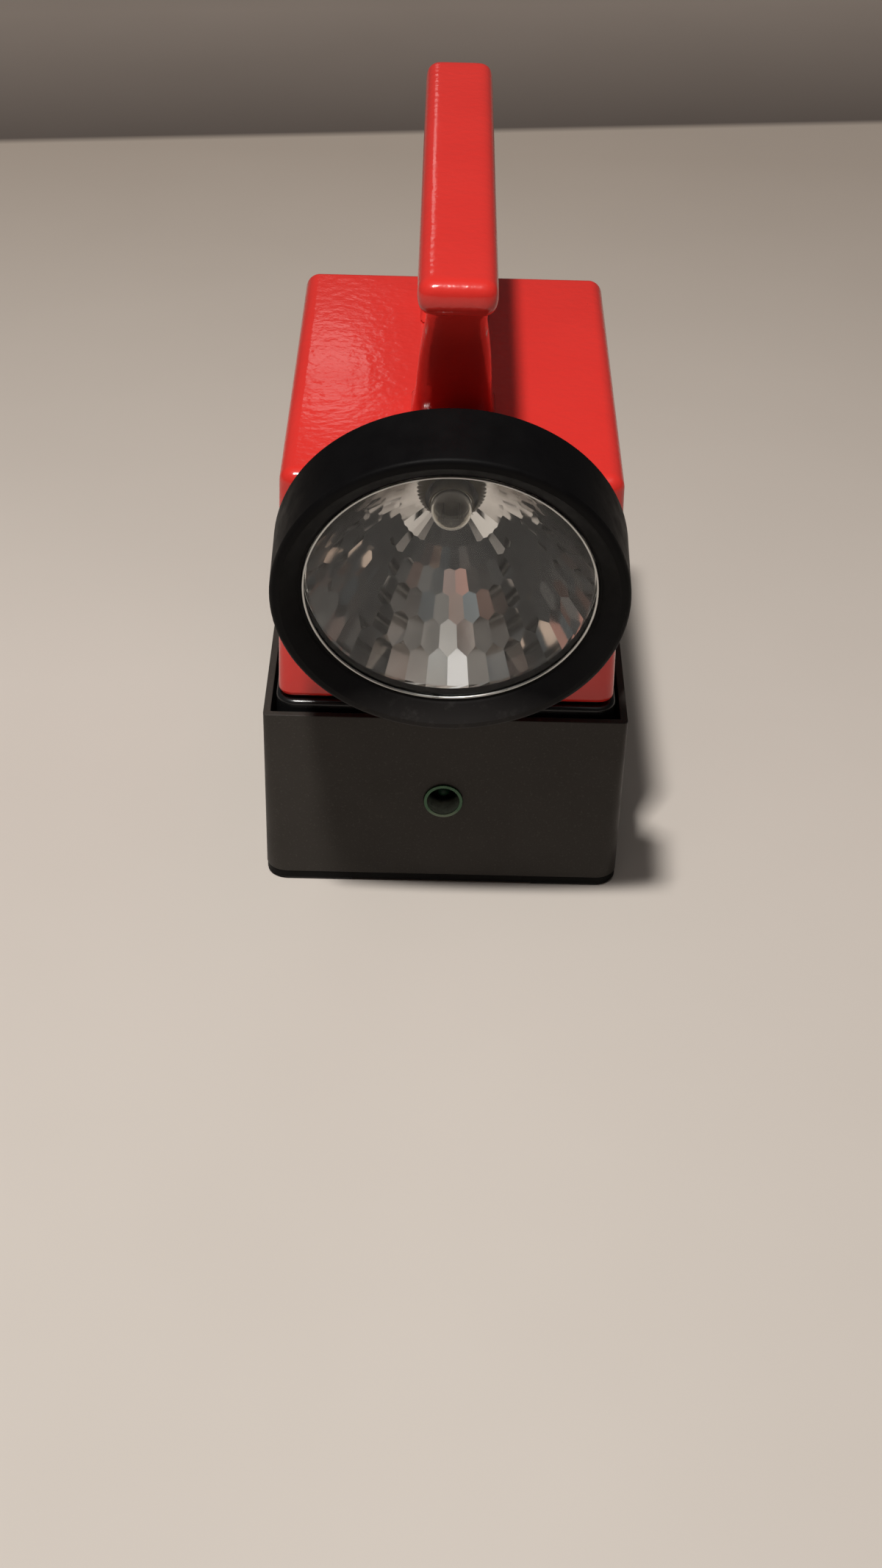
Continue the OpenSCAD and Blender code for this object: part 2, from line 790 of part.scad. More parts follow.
module lantern_base() {
    lip_h = 4;
    color(black) placed() difference() {
        union() {
            difference() {
                translate([0, 0, seat_z]) hull() {
                    corners(base_w, base_d, base_corner_r) {
                        translate([0, 0, base_h - base_corner_r]) {
                            edge_post(base_corner_r, base_corner_r, base_top_r);
                        }
                        translate([0, 0, base_corner_r]) mirror([0, 0, 1]) {
                            edge_post(base_corner_r, base_corner_r, 1);
                        }
                    }
                }
                translate([0, 0, seat_z + base_floor]) {
                    rounded_plate(
                        base_w - 2 * base_wall, base_d - 2 * base_wall,
                        base_h - base_floor - lip_h, base_corner_r - base_wall
                    );
                }
                translate([0, 0, base_top_z - lip_h - over]) {
                    rounded_plate(opening_w, opening_d, lip_h + 2 * over, 4);
                }
            }
            screw_pillars(seat_z + eps, base_h - 2 * eps);
        }
        for (x = [-1, 1], y = [-1, 1]) {
            translate([x * pillar_x, y * base_screw_y, seat_z - over]) {
                cylinder(h = base_h + 2 * over, r = base_screw_r + clear);
                cylinder(h = head_recess + over, r = base_screw_r + 1.6);
            }
        }
        for (x = [-1, 1]) {
            translate([x * contact_x, 0, seat_z - over]) {
                cylinder(h = pin_travel + contact_pad_t + over, r = pocket_r);
                cylinder(h = base_floor + 2 * over, r = 2 + clear);
            }
            translate([x * strap_screw_x, 0, seat_z + base_floor - strap_bite - 0.2]) {
                cylinder(h = strap_bite + over, r = 1.5 + clear);
            }
        }
    }
}

module base_gasket() {
    color("#222222") placed() translate([0, 0, base_top_z]) difference() {
        union() {
            rounded_plate(foot_w - 2 * gasket_out, foot_d - 2 * gasket_out, base_gasket_t, 4);
        }
        translate([0, 0, -over]) difference() {
            rounded_plate(opening_w, opening_d, base_gasket_t + 2 * over, 4);
            screw_pillars(-over, base_gasket_t + 4 * over);
        }
        for (x = [-1, 1], y = [-1, 1]) {
            translate([x * pillar_x, y * base_screw_y, -over]) {
                cylinder(h = base_gasket_t + 2 * over, r = base_screw_r + clear);
            }
        }
    }
}

module base_screws() {
    color(steel) placed() for (x = [-1, 1], y = [-1, 1]) {
        translate([x * pillar_x, y * base_screw_y, seat_z + head_recess]) {
            screw(
                base_screw_r, base_h - head_recess + base_gasket_t + pillar_h - 4, base_screw_r + 1.4, 3
            );
        }
    }
}

module contact_pads() {
    color(brass) placed() for (x = [-1, 1]) {
        translate([x * contact_x, 0, seat_z + pin_travel]) {
            cylinder(h = contact_pad_t, r = contact_pad_r);
            cylinder(h = base_floor - pin_travel + 1, r = 2);
            translate([0, 0, base_floor - pin_travel]) {
                cylinder(h = 1, r = 3.6);
                translate([-3, 0, 0]) cube([6, tag_y + tag_w / 2, tag_t]);
                translate([x > 0 ? -3 : contact_x - tag_x, tag_y - tag_w / 2, 0]) {
                    cube([tag_x - contact_x + 3, tag_w, tag_t]);
                }
            }
        }
    }
}

// Battery and what holds it

module battery() {
    color("#3a3f45") placed() translate([0, 0, battery_z]) {
        rounded_plate(battery_w, battery_d, battery_h - 4, 3);
        rounded_plate(battery_w - 2, battery_d - 2, battery_h, 2);
    }
}

tab_x = battery_w / 4 + 0.5;
tab_back = 15.4;
tab_y = board_y - tab_back;
tab_w = 6.4;
tab_len = 8;
tab_h = 8;
tab_t = 0.8;

module battery_tabs() {
    color(brass) placed() for (x = [-1, 1]) {
        translate([x * tab_x, tab_y, battery_top_z]) {
            translate([-tab_w / 2, -tab_len / 2, 0]) cube([tab_w, tab_len, tab_t]);
            translate([-tab_w / 2, tab_len / 2 - tab_t, 0]) cube([tab_w, tab_t, tab_h]);
        }
    }
}

module battery_pads() {
    color("#4a4a4a") placed() for (y = [-1, 1]) {
        translate([-battery_w / 2 + 4, y * battery_d / 4 - 10, seat_z + base_floor]) {
            cube([battery_w - 8, 20, pad_t]);
        }
    }
}

strap_in = battery_w / 2 + battery_gap;
strap_foot = 7;
strap_bite = 2.6;
strap_screw_x = strap_in + strap_t + strap_foot / 2;

module battery_strap() {
    floor_z = seat_z + base_floor;
    strap_top = battery_top_z + battery_gap;
    color(steel) placed() difference() {
        translate([0, strap_w / 2, 0]) rotate([90, 0, 0]) linear_extrude(strap_w) {
            difference() {
                translate([-strap_in - strap_t, floor_z]) {
                    square([2 * (strap_in + strap_t), strap_top + strap_t - floor_z]);
                }
                translate([-strap_in, floor_z - over]) square([2 * strap_in, strap_top - floor_z + over]);
            }
            for (x = [-1, 1]) {
                translate([x * (strap_in + strap_t / 2 + strap_foot / 2), floor_z + strap_t / 2]) {
                    square([strap_foot + strap_t, strap_t], center = true);
                }
            }
        }
        for (x = [-1, 1]) {
            translate([x * strap_screw_x, 0, floor_z - over]) {
                cylinder(h = strap_t + 2 * over, r = 1.5 + clear);
            }
        }
    }
}

module strap_screws() {
    color(steel) placed() for (x = [-1, 1]) {
        translate([x * strap_screw_x, 0, seat_z + base_floor + strap_t]) {
            cylinder(h = 1.8, r = 2.6);
            translate([0, 0, -strap_t - strap_bite]) cylinder(h = strap_t + strap_bite + eps, r = 1.5);
        }
    }
}

// Rotary switch on the rear wall

module switch_body() {
    neck_len = seat_y - boss_in_y + 5;
    color("#2a2a2e") placed() translate([0, boss_in_y, switch_z]) rotate([-90, 0, 0]) difference() {
        union() {
            translate([0, 0, -switch_depth]) rounded_plate(switch_side, switch_side, switch_depth, 2);
            translate([0, 0, -eps]) cylinder(h = neck_len + eps, r = neck_r);
        }
        translate([0, 0, -switch_depth + 2]) cylinder(h = switch_depth + neck_len, r = shaft_r + run_fit);
    }
}

seal_t = 1;
nut_t = 3;

module switch_seal() {
    color(black) placed() translate([0, seat_y, switch_z]) rotate([-90, 0, 0]) {
        rotate_extrude() translate([neck_r + clear, 0]) square([3, seal_t]);
    }
}

module switch_nut() {
    color(steel) placed() translate([0, seat_y + seal_t, switch_z]) rotate([-90, 0, 0]) difference() {
        cylinder(h = nut_t, r = neck_r + 3.6, $fn = 6);
        translate([0, 0, -over]) cylinder(h = nut_t + 2 * over, r = neck_r + clear);
    }
}

module switch_board() {
    board_w = switch_side + 26;
    color(board_green) placed() difference() {
        translate([-board_w / 2, board_y, board_z]) cube([board_w, board_t, board_top_z - board_z]);
        for (x = [-1, 1]) {
            translate([x * (board_w / 2 - 4), board_y - over, board_top_z - 4]) rotate([-90, 0, 0]) {
                cylinder(h = board_t + 2 * over, r = 1.6);
            }
        }
    }
    color("#202020") placed() for (x = [-1, 1]) {
        translate([x * 17, board_y + eps, switch_z - 8]) rotate([90, 0, 0]) cylinder(h = 4, r = 3);
    }
}

knob_y = seat_y + slip;
socket_r = shaft_r + clear;

module switch_shaft() {
    inner_end = boss_in_y - switch_depth + 2 + slip;
    color(steel) placed() translate([0, inner_end, switch_z]) rotate([-90, 0, 0]) {
        cylinder(h = knob_y + knob_len - 4 - inner_end, r = shaft_r);
    }
}

module switch_knob() {
    hollow_r = neck_r + 4.4;
    hollow_h = seal_t + nut_t + 5;
    grip_r = knob_r - 1.6;
    skirt = 3.5;
    face = 1;
    flute_r = 2.2;
    color(black) placed() translate([0, knob_y, switch_z]) rotate([-90, 0, 0]) difference() {
        union() {
            rotate_extrude() polygon([
                [0, 0], [knob_r, 0], [knob_r, skirt - 1], [knob_r - 1, skirt], [0, skirt]
            ]);
            translate([0, 0, skirt - eps]) linear_extrude(knob_len - skirt - face + eps) difference() {
                circle(grip_r);
                for (i = [0:knob_flutes - 1]) {
                    rotate(360 * (i + 0.5) / knob_flutes) translate([grip_r + 0.8, 0]) {
                        circle(flute_r, $fn = 32);
                    }
                }
            }
            translate([0, 0, knob_len - face - eps]) cylinder(h = face + eps, r = grip_r - 2.4);
            translate([-1, -grip_r + 3, knob_len - face - eps]) cube([2, grip_r - 4, face + 0.8]);
        }
        translate([0, 0, -over]) cylinder(h = hollow_h + over, r = hollow_r);
        cylinder(h = knob_len - 4 + 0.2, r = socket_r);
    }
}

// Leads inside the lantern

channel_x = (battery_w + opening_w) / 4;

module battery_leads() {
    color("#a01818") placed() for (x = [-1, 1]) {
        start = [x * tab_x, tab_y + (tab_len - tab_t) / 2, battery_top_z + tab_h + slip];
        finish = [x * 15, board_y - slip, switch_z + 4];
        lead([start, start + [0, 0, 9], finish + [0, -9, 0], finish], [1, 0, 0]);
    }
}

module lamp_leads() {
    start_s = holder_end_s + holder_tab + slip;
    color("#e0dccb") placed() for (x = [-1, 1]) {
        finish = [x * 7, board_y - slip, switch_z + switch_side / 2 - 2];
        lead(
            [head_point(x * 4, 0, start_s), head_point(x * 4, 0, start_s + 4), finish + [0, -40, -4], finish],
            [1, 0, 0], 18
        );
    }
}

// Up beside the battery, then over its corner to the switch board
module charge_leads() {
    color("#1d1d1d") placed() for (x = [-1, 1]) {
        start = [x * channel_x, tag_y, seat_z + base_floor + tag_t + slip];
        knee = [x * channel_x, tag_y + 12, battery_top_z + 5];
        finish = [x * 21, board_y - slip, board_z + 6];
        turn = [x * (channel_x - 4), (knee[1] + finish[1]) / 2, battery_top_z + 7];
        lean = 0.8 * (turn - knee);
        path = concat(
            bend([start, start + [0, 0, battery_h / 2], knee - lean, knee], 12),
            [for (i = [1:12]) bend([knee, knee + lean, finish + [0, -8, 0], finish], 12)[i]]
        );
        wire(path, [for (p = path) [x, 0.2, 0.05]], lead_d / 2, 8);
    }
}

// Charging cradle

module tray_shell(shrink, z0, z1) {
    function lean_at(z) = tray_lean * (rim_z - z) / (rim_z - tray_z);
    function corner_at(z) = rim_corner_r
        + (foot_corner_r - rim_corner_r) * (rim_z - z) / (rim_z - tray_z);
    loft([
        for (z = [z0, z1]) [
            z, 0,
            tray_w + 2 * lean_at(z) - 2 * shrink,
            tray_d + 2 * lean_at(z) - 2 * shrink,
            max(0.6, corner_at(z) - shrink)
        ]
    ], 8);
}

plate_hole_x = tray_w / 2 - tray_wall - 7;
plate_hole_y = tray_d / 2 - tray_wall - 7;

module plate_holes() {
    for (x = [-1, 1], y = [-1, 1]) {
        translate([x * plate_hole_x, y * plate_hole_y, 0]) children();
    }
}

module cradle_tray() {
    color(dark_grey) placed() difference() {
        union() {
            difference() {
                tray_shell(0, tray_z, rim_z);
                tray_shell(tray_wall, seat_z, rim_z + over);
                tray_shell(tray_wall, tray_z - over, seat_z - seat_t);
            }
            plate_holes() translate([0, 0, tray_z]) {
                cylinder(h = seat_z - seat_t - tray_z + eps, r = plate_screw_r + 2.5);
            }
        }
        plate_holes() translate([0, 0, tray_z - over]) {
            cylinder(h = plate_screw_len + 1 + over, r = plate_screw_r + clear);
        }
        for (x = [-1, 1]) {
            translate([x * contact_x, 0, seat_z - seat_t - over]) {
                cylinder(h = seat_t + 2 * over, r = pin_r + slip);
            }
        }
        translate([0, -tray_d / 2 - tray_lean - over, indicator_z]) rotate([-90, 0, 0]) {
            cylinder(h = tray_wall + tray_lean + 2 * over, r = bezel_r + run_fit);
        }
        inlet_slot(clear);
    }
}

inlet_half = 14;
inlet_rise = 13;

module inlet_slot(gap) {
    translate([inlet_x - inlet_half - gap, tray_d / 2 - tray_wall - over, tray_z - over]) {
        cube([
            2 * (inlet_half + gap), tray_wall + tray_lean + 2 * over,
            inlet_z + inlet_rise + gap - tray_z + over
        ]);
    }
}

// Closes the slot in the tray's rear wall and carries the supply grommet
module inlet_plate() {
    color(dark_grey) placed() difference() {
        intersection() {
            difference() {
                tray_shell(0, tray_z, rim_z);
                tray_shell(tray_wall, tray_z - over, rim_z + over);
            }
            inlet_slot(0);
        }
        translate([inlet_x, tray_d / 2 - tray_wall - over, inlet_z]) rotate([-90, 0, 0]) {
            cylinder(h = tray_wall + tray_lean + 2 * over, r = inlet_r + 2);
        }
    }
}

module cradle_base_plate() {
    w = tray_w + 2 * tray_lean - 2 * plate_inset;
    d = tray_d + 2 * tray_lean - 2 * plate_inset;
    color(black) placed() translate([0, 0, plate_z]) difference() {
        union() {
            rounded_plate(w, d, plate_t, foot_corner_r - plate_inset);
            for (x = [-1, 1], y = [-1, 1]) {
                translate([board_x + x * board_hole_x, board_mid_y + y * board_hole_y, 0]) {
                    cylinder(h = stand_z - plate_z, r = 3);
                }
            }
        }
        plate_holes() {
            translate([0, 0, -over]) cylinder(h = plate_t + 2 * over, r = plate_screw_r + clear);
            translate([0, 0, plate_t / 2 - plate_t - over]) {
                cylinder(h = plate_t + over, r = plate_screw_r + 1.6);
            }
        }
        for (x = [-1, 1]) {
            translate([core_x + x * (core_w + bracket_reach) / 2, core_y, 0.2]) {
                cylinder(h = plate_t, r = charger_screw_r + clear);
            }
        }
        for (x = [-1, 1], y = [-1, 1]) {
            translate([board_x + x * board_hole_x, board_mid_y + y * board_hole_y, 1]) {
                cylinder(h = stand_z - plate_z, r = charger_screw_r + clear);
            }
        }
    }
}

module cradle_feet() {
    foot_deep = 18;
    w = tray_w + 2 * tray_lean - 2 * plate_inset;
    d = tray_d + 2 * tray_lean - 2 * plate_inset;
    hole_in = plate_screw_r + 2.4;
    color("#1c1c1c") placed() for (x = [0, 1], y = [0, 1]) {
        mirror([x, 0, 0]) mirror([0, y, 0]) difference() {
            intersection() {
                rounded_plate(w - 1, d - 1, foot_t, foot_corner_r - plate_inset);
                translate([w / 2 - foot_len, d / 2 - foot_deep, -over]) {
                    cube([foot_len, foot_deep, foot_t + 2 * over]);
                }
            }
            translate([plate_hole_x, plate_hole_y, -over]) cylinder(h = foot_t + 2 * over, r = hole_in);
        }
    }
}

plate_screw_len = 13;

module plate_screws() {
    color(steel) placed() plate_holes() translate([0, 0, plate_z + plate_t / 2]) {
        screw(plate_screw_r, plate_screw_len, plate_screw_r + 1.4, plate_t / 2 - 0.1);
    }
}

// Spring contacts under the seat

carrier_w = 2 * contact_x + 2 * chamber_r + 8;
carrier_d = 2 * chamber_r + 6;

module pin_carrier() {
    color(nylon) placed() difference() {
        translate([0, 0, spring_z]) {
            rounded_plate(carrier_w, carrier_d, seat_z - seat_t - spring_z, 4);
        }
        for (x = [-1, 1]) {
            translate([x * contact_x, 0, 0]) {
                translate([0, 0, spring_z - over]) {
                    cylinder(h = chamber_top_z - spring_z + over, r = chamber_r);
                }
                translate([0, 0, chamber_top_z - over]) {
                    cylinder(h = guide_len + 2 * over, r = pin_r + run_fit);
                }
            }
        }
    }
}

module pin_terminals() {
    color(brass) placed() for (x = [-1, 1]) {
        translate([x * contact_x, 0, spring_z - terminal_t]) {
            rounded_plate(2 * chamber_r + 4, carrier_d - 1, terminal_t, 3);
            translate([-3, carrier_d / 2 - 2, 0]) cube([6, 7, terminal_t]);
        }
    }
}

module contact_pin() {
    tip = 0.6;
    tail_len = 5;
    color("#d6c48a") placed() rotate_extrude() polygon([
        [0, collar_z - tail_len], [pin_r - 0.6, collar_z - tail_len], [pin_r - 0.6, collar_z],
        [collar_r, collar_z], [collar_r, collar_z + collar_t], [pin_r, collar_z + collar_t],
        [pin_r, seat_z + pin_travel - tip], [pin_r - tip, seat_z + pin_travel], [0, seat_z + pin_travel]
    ]);
}

module contact_pin_left() {
    translate([-contact_x, 0, 0]) contact_pin();
}

module contact_pin_right() {
    translate([contact_x, 0, 0]) contact_pin();
}

// One unbroken wire: straight ends square to their seats, and the turns between them
curl_rings = 8;
function coil_z(t) = spring_z + slip / 2 + spring_wire + t * (spring_len - slip - 2 * spring_wire);
coil_path = concat(
    [[spring_r, 0, spring_z + slip / 2]],
    [for (i = [0:curl_rings * spring_turns])
        let (a = 360 * i / curl_rings)
        [spring_r * cos(a), spring_r * sin(a), coil_z(i / (curl_rings * spring_turns))]],
    [[spring_r, 0, collar_z - slip / 2]]
);
coil_sides = [for (p = coil_path) [p[0], p[1], 0]];
coil_gap = min([
    for (i = [1:len(coil_path) - 2]) for (j = [i + curl_rings - 2:1:len(coil_path) - 2])
        norm(coil_path[i] - coil_path[j]) - spring_wire
]);
echo(least_spring_gap = coil_gap);

module contact_spring() {
    color("#9aa0a6") placed() wire(coil_path, coil_sides, spring_wire / 2, 6);
}

module contact_spring_left() {
    translate([-contact_x, 0, 0]) contact_spring();
}

module contact_spring_right() {
    translate([contact_x, 0, 0]) contact_spring();
}

// Charger inside the cradle

bracket_t = 1.2;
bracket_reach = 10;
core_side = 2.1;
core_back = 40.1;
core_x = -(tray_w / 2 - tray_wall - core_w / 2 - bracket_reach - core_side);
core_y = tray_d / 2 - tray_wall - core_back;
leg = core_w / 6;
charger_screw_r = 1.2;
core_z = tray_z + bracket_t;

module transformer_core() {
    color("#6b6e73") placed() translate([core_x, core_y, core_z]) difference() {
        translate([-core_w / 2, -core_t / 2, 0]) cube([core_w, core_t, core_h]);
        for (x = [-2, 1]) {
            translate([x * leg, -core_t / 2 - over, leg]) {
                cube([leg, core_t + 2 * over, core_h - 2 * leg]);
            }
        }
    }
}

module transformer_coil() {
    wall = leg - 0.4;
    inner_w = 2 * leg + 2 * clear;
    color("#8c4a2a") placed() translate([core_x, core_y, core_z + leg + 0.3]) {
        linear_extrude(core_h - 2 * leg - 0.6) difference() {
            rounded_rect(inner_w + 2 * wall, core_t + 2 * clear + 2 * wall, 3);
            square([inner_w, core_t + 2 * clear], center = true);
        }
    }
}

module transformer_bracket() {
    reach = bracket_reach;
    color(steel) placed() difference() {
        translate([core_x - core_w / 2 - reach, core_y - core_t / 2, tray_z]) {
            cube([core_w + 2 * reach, core_t, bracket_t]);
        }
        for (x = [-1, 1]) {
            translate([core_x + x * (core_w / 2 + reach / 2), core_y, tray_z - over]) {
                cylinder(h = bracket_t + 2 * over, r = charger_screw_r + clear);
            }
        }
    }
}

charger_board_w = 56;
charger_board_d = 42;
board_hole_x = charger_board_w / 2 - 4;
board_hole_y = charger_board_d / 2 - 5;
board_side = 4.1;
board_front = 29.1;
board_x = tray_w / 2 - tray_wall - charger_board_w / 2 - board_side;
board_mid_y = -(tray_d / 2 - tray_wall - charger_board_d / 2 - board_front);
stand_h = 5;
stand_z = tray_z + stand_h;

module charger_board() {
    color(board_green) placed() difference() {
        translate([board_x, board_mid_y, stand_z]) rounded_plate(charger_board_w, charger_board_d, board_t, 1.5);
        for (x = [-1, 1], y = [-1, 1]) {
            translate([board_x + x * board_hole_x, board_mid_y + y * board_hole_y, stand_z - over]) {
                cylinder(h = board_t + 2 * over, r = charger_screw_r + clear);
            }
        }
    }
}

module charger_screws() {
    bite = 2;
    color(steel) placed() {
        for (x = [-1, 1]) {
            translate([core_x + x * (core_w + bracket_reach) / 2, core_y, tray_z + bracket_t]) {
                cylinder(h = 1.4, r = 2.4);
                translate([0, 0, -bracket_t - bite]) {
                    cylinder(h = bracket_t + bite + eps, r = charger_screw_r);
                }
            }
        }
        for (x = [-1, 1], y = [-1, 1]) {
            translate([board_x + x * board_hole_x, board_mid_y + y * board_hole_y, stand_z + board_t]) {
                cylinder(h = 1.4, r = 2.4);
                translate([0, 0, -board_t - 2 * bite]) {
                    cylinder(h = board_t + 2 * bite + eps, r = charger_screw_r);
                }
            }
        }
    }
}

module smoothing_capacitor() {
    can_r = 7;
    color("#25406b") placed() translate([board_x - 14, board_mid_y - 8, stand_z + board_t]) {
        cylinder(h = 20, r = can_r);
    }
}

module bridge_rectifier() {
    color("#1e1e1e") placed() translate([board_x + 10, board_mid_y - 4, stand_z + board_t]) {
        rounded_plate(15, 15, 6, 1.5);
    }
}

wall_y = tray_d / 2 + tray_lean * (rim_z - indicator_z) / (rim_z - tray_z);

module indicator_bezel() {
    proud = 0.7;
    back = 1;
    bore_r = bezel_r - bezel_wall;
    color("#1f6b35") placed() translate([0, -wall_y - proud, indicator_z]) rotate([-90, 0, 0])
    difference() {
        union() {
            cylinder(h = bezel_depth, r = bezel_r);
            translate([0, 0, proud + tray_wall + tray_lean / 2]) cylinder(h = 1.5, r = bezel_r + 0.8);
        }
        translate([0, 0, -over]) cylinder(h = bezel_depth - back + over, r = bore_r);
        cylinder(h = bezel_depth + over, r = 2.6);
    }
}

module indicator_lamp() {
    lamp_r = 2.5;
    color("#3c9a55") placed() translate([0, -wall_y + bezel_depth - 5, indicator_z]) rotate([-90, 0, 0]) {
        cylinder(h = 8, r = lamp_r);
        intersection() {
            sphere(lamp_r);
            translate([0, 0, -lamp_r]) cylinder(h = lamp_r + eps, r = lamp_r);
        }
    }
}

module supply_grommet() {
    flange = 2;
    groove_r = inlet_r + 2 - run_fit;
    mid = tray_d / 2 - tray_wall / 2 + tray_lean * (rim_z - inlet_z) / (rim_z - tray_z);
    groove_half = tray_wall / 2 + 0.1;
    color("#1a1a1a") placed() translate([inlet_x, mid, inlet_z]) rotate([-90, 0, 0]) {
        rotate_extrude() polygon([
            [inlet_r, -inlet_len / 2], [groove_r + flange, -inlet_len / 2],
            [groove_r + flange, -groove_half],
            [groove_r, -groove_half], [groove_r, groove_half], [groove_r + flange, groove_half],
            [groove_r + flange - 0.8, inlet_len / 2], [inlet_r, inlet_len / 2]
        ]);
    }
}

terminals_back = 26.1;
terminals_y = tray_d / 2 - tray_wall - terminals_back;

module supply_terminals() {
    color("#dcd8c6") placed() translate([inlet_x, terminals_y, tray_z]) difference() {
        translate([-10, -6, 0]) cube([20, 12, 11]);
        for (x = [-1, 1]) {
            translate([x * 5, 0, 6]) cylinder(h = 6, r = 2);
        }
    }
}

module charger_leads() {
    color("#7a1f1f") placed() for (x = [-1, 1]) {
        start = [x * contact_x, carrier_d / 2 + 6.5, spring_z - terminal_t - slip - lead_d / 2];
        finish = [board_x + x * 8, board_mid_y + 17, stand_z + board_t + lead_d / 2 + slip];
        lead([start, start + [0, 9, -2], finish + [0, 22, 6], finish], [0, 0.3, 1]);
    }
}

housing();
handle();
handle_screws();
head_ring();
lens();
lens_gasket();
reflector();
bulb_glass();
bulb_filament();
bulb_cap();
bulb_contact();
bulb_holder();
lantern_base();
base_gasket();
base_screws();
contact_pads();
battery();
battery_tabs();
battery_pads();
battery_strap();
strap_screws();
switch_body();
switch_nut();
switch_seal();
switch_board();
switch_shaft();
switch_knob();
battery_leads();
lamp_leads();
charge_leads();
cradle_tray();
inlet_plate();
cradle_base_plate();
cradle_feet();
plate_screws();
pin_carrier();
pin_terminals();
contact_pin_left();
contact_pin_right();
contact_spring_left();
contact_spring_right();
transformer_core();
transformer_coil();
transformer_bracket();
charger_board();
charger_screws();
smoothing_capacitor();
bridge_rectifier();
indicator_bezel();
indicator_lamp();
supply_grommet();
supply_terminals();
charger_leads();
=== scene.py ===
import json
import math

import bmesh
import bpy
from mathutils import Matrix, Vector


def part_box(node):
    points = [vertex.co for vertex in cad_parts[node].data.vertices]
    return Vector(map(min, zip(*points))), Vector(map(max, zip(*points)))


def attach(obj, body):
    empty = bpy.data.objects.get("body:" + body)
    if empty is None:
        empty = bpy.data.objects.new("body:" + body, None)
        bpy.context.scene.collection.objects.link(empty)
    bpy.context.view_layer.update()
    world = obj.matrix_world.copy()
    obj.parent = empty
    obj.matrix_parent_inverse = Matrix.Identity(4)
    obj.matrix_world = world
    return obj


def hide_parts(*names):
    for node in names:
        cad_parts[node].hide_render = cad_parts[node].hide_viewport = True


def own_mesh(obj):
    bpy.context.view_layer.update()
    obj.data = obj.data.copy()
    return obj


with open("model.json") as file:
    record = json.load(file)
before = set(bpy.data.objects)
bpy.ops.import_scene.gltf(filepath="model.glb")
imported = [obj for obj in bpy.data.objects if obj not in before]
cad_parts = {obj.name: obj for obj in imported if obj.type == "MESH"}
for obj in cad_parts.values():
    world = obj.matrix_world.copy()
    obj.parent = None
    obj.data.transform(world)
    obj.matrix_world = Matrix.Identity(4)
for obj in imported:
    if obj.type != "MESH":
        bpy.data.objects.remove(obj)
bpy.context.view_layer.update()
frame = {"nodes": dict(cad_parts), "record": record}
nodes = frame["nodes"]
scene = bpy.context.scene


# Places on the part, in metres at rest

HOUSING_TOP = 0.1585
HOUSING_FRONT = -0.0676
PAINT_EDGE = 0.0002  # half the width over which one paint gives way to the next
RING_FOOT = 0.084
TRAY_RIM = 0.0698
HEAD_AT = Vector((0.0, -0.109372, 0.1382))
HEAD_AXIS = Vector((0.0, 0.98163, 0.19081))
HEAD_UP = Vector((0.0, -0.19081, 0.98163))


# Camera: the photograph's viewing angle, from its 1200 x 2133 frame

IMAGE_H = 2133
FOCAL_PX = 3000.0
SENSOR_MM = 36.0
CAMERA_AT = Vector((-0.005519, -0.684017, 0.488953))
PITCH = math.radians(36.071)
ROLL = math.radians(1.61)
YAW = math.radians(0.431)


def make_camera():
    forward = Vector((
        math.sin(YAW) * math.cos(PITCH), math.cos(YAW) * math.cos(PITCH), -math.sin(PITCH)
    ))
    right = Vector((math.cos(YAW), -math.sin(YAW), 0.0))
    up = right.cross(forward)
    right_rolled = math.cos(ROLL) * right + math.sin(ROLL) * up
    up_rolled = -math.sin(ROLL) * right + math.cos(ROLL) * up
    data = bpy.data.cameras.new("camera")
    data.sensor_fit = "VERTICAL"
    data.sensor_height = SENSOR_MM
    data.lens = SENSOR_MM * FOCAL_PX / IMAGE_H
    data.clip_start = 0.01
    data.clip_end = 50.0
    obj = bpy.data.objects.new("camera", data)
    turn = Matrix((right_rolled, up_rolled, -forward)).transposed()
    obj.matrix_world = Matrix.Translation(CAMERA_AT) @ turn.to_4x4()
    scene.collection.objects.link(obj)
    scene.camera = obj


make_camera()


# Materials


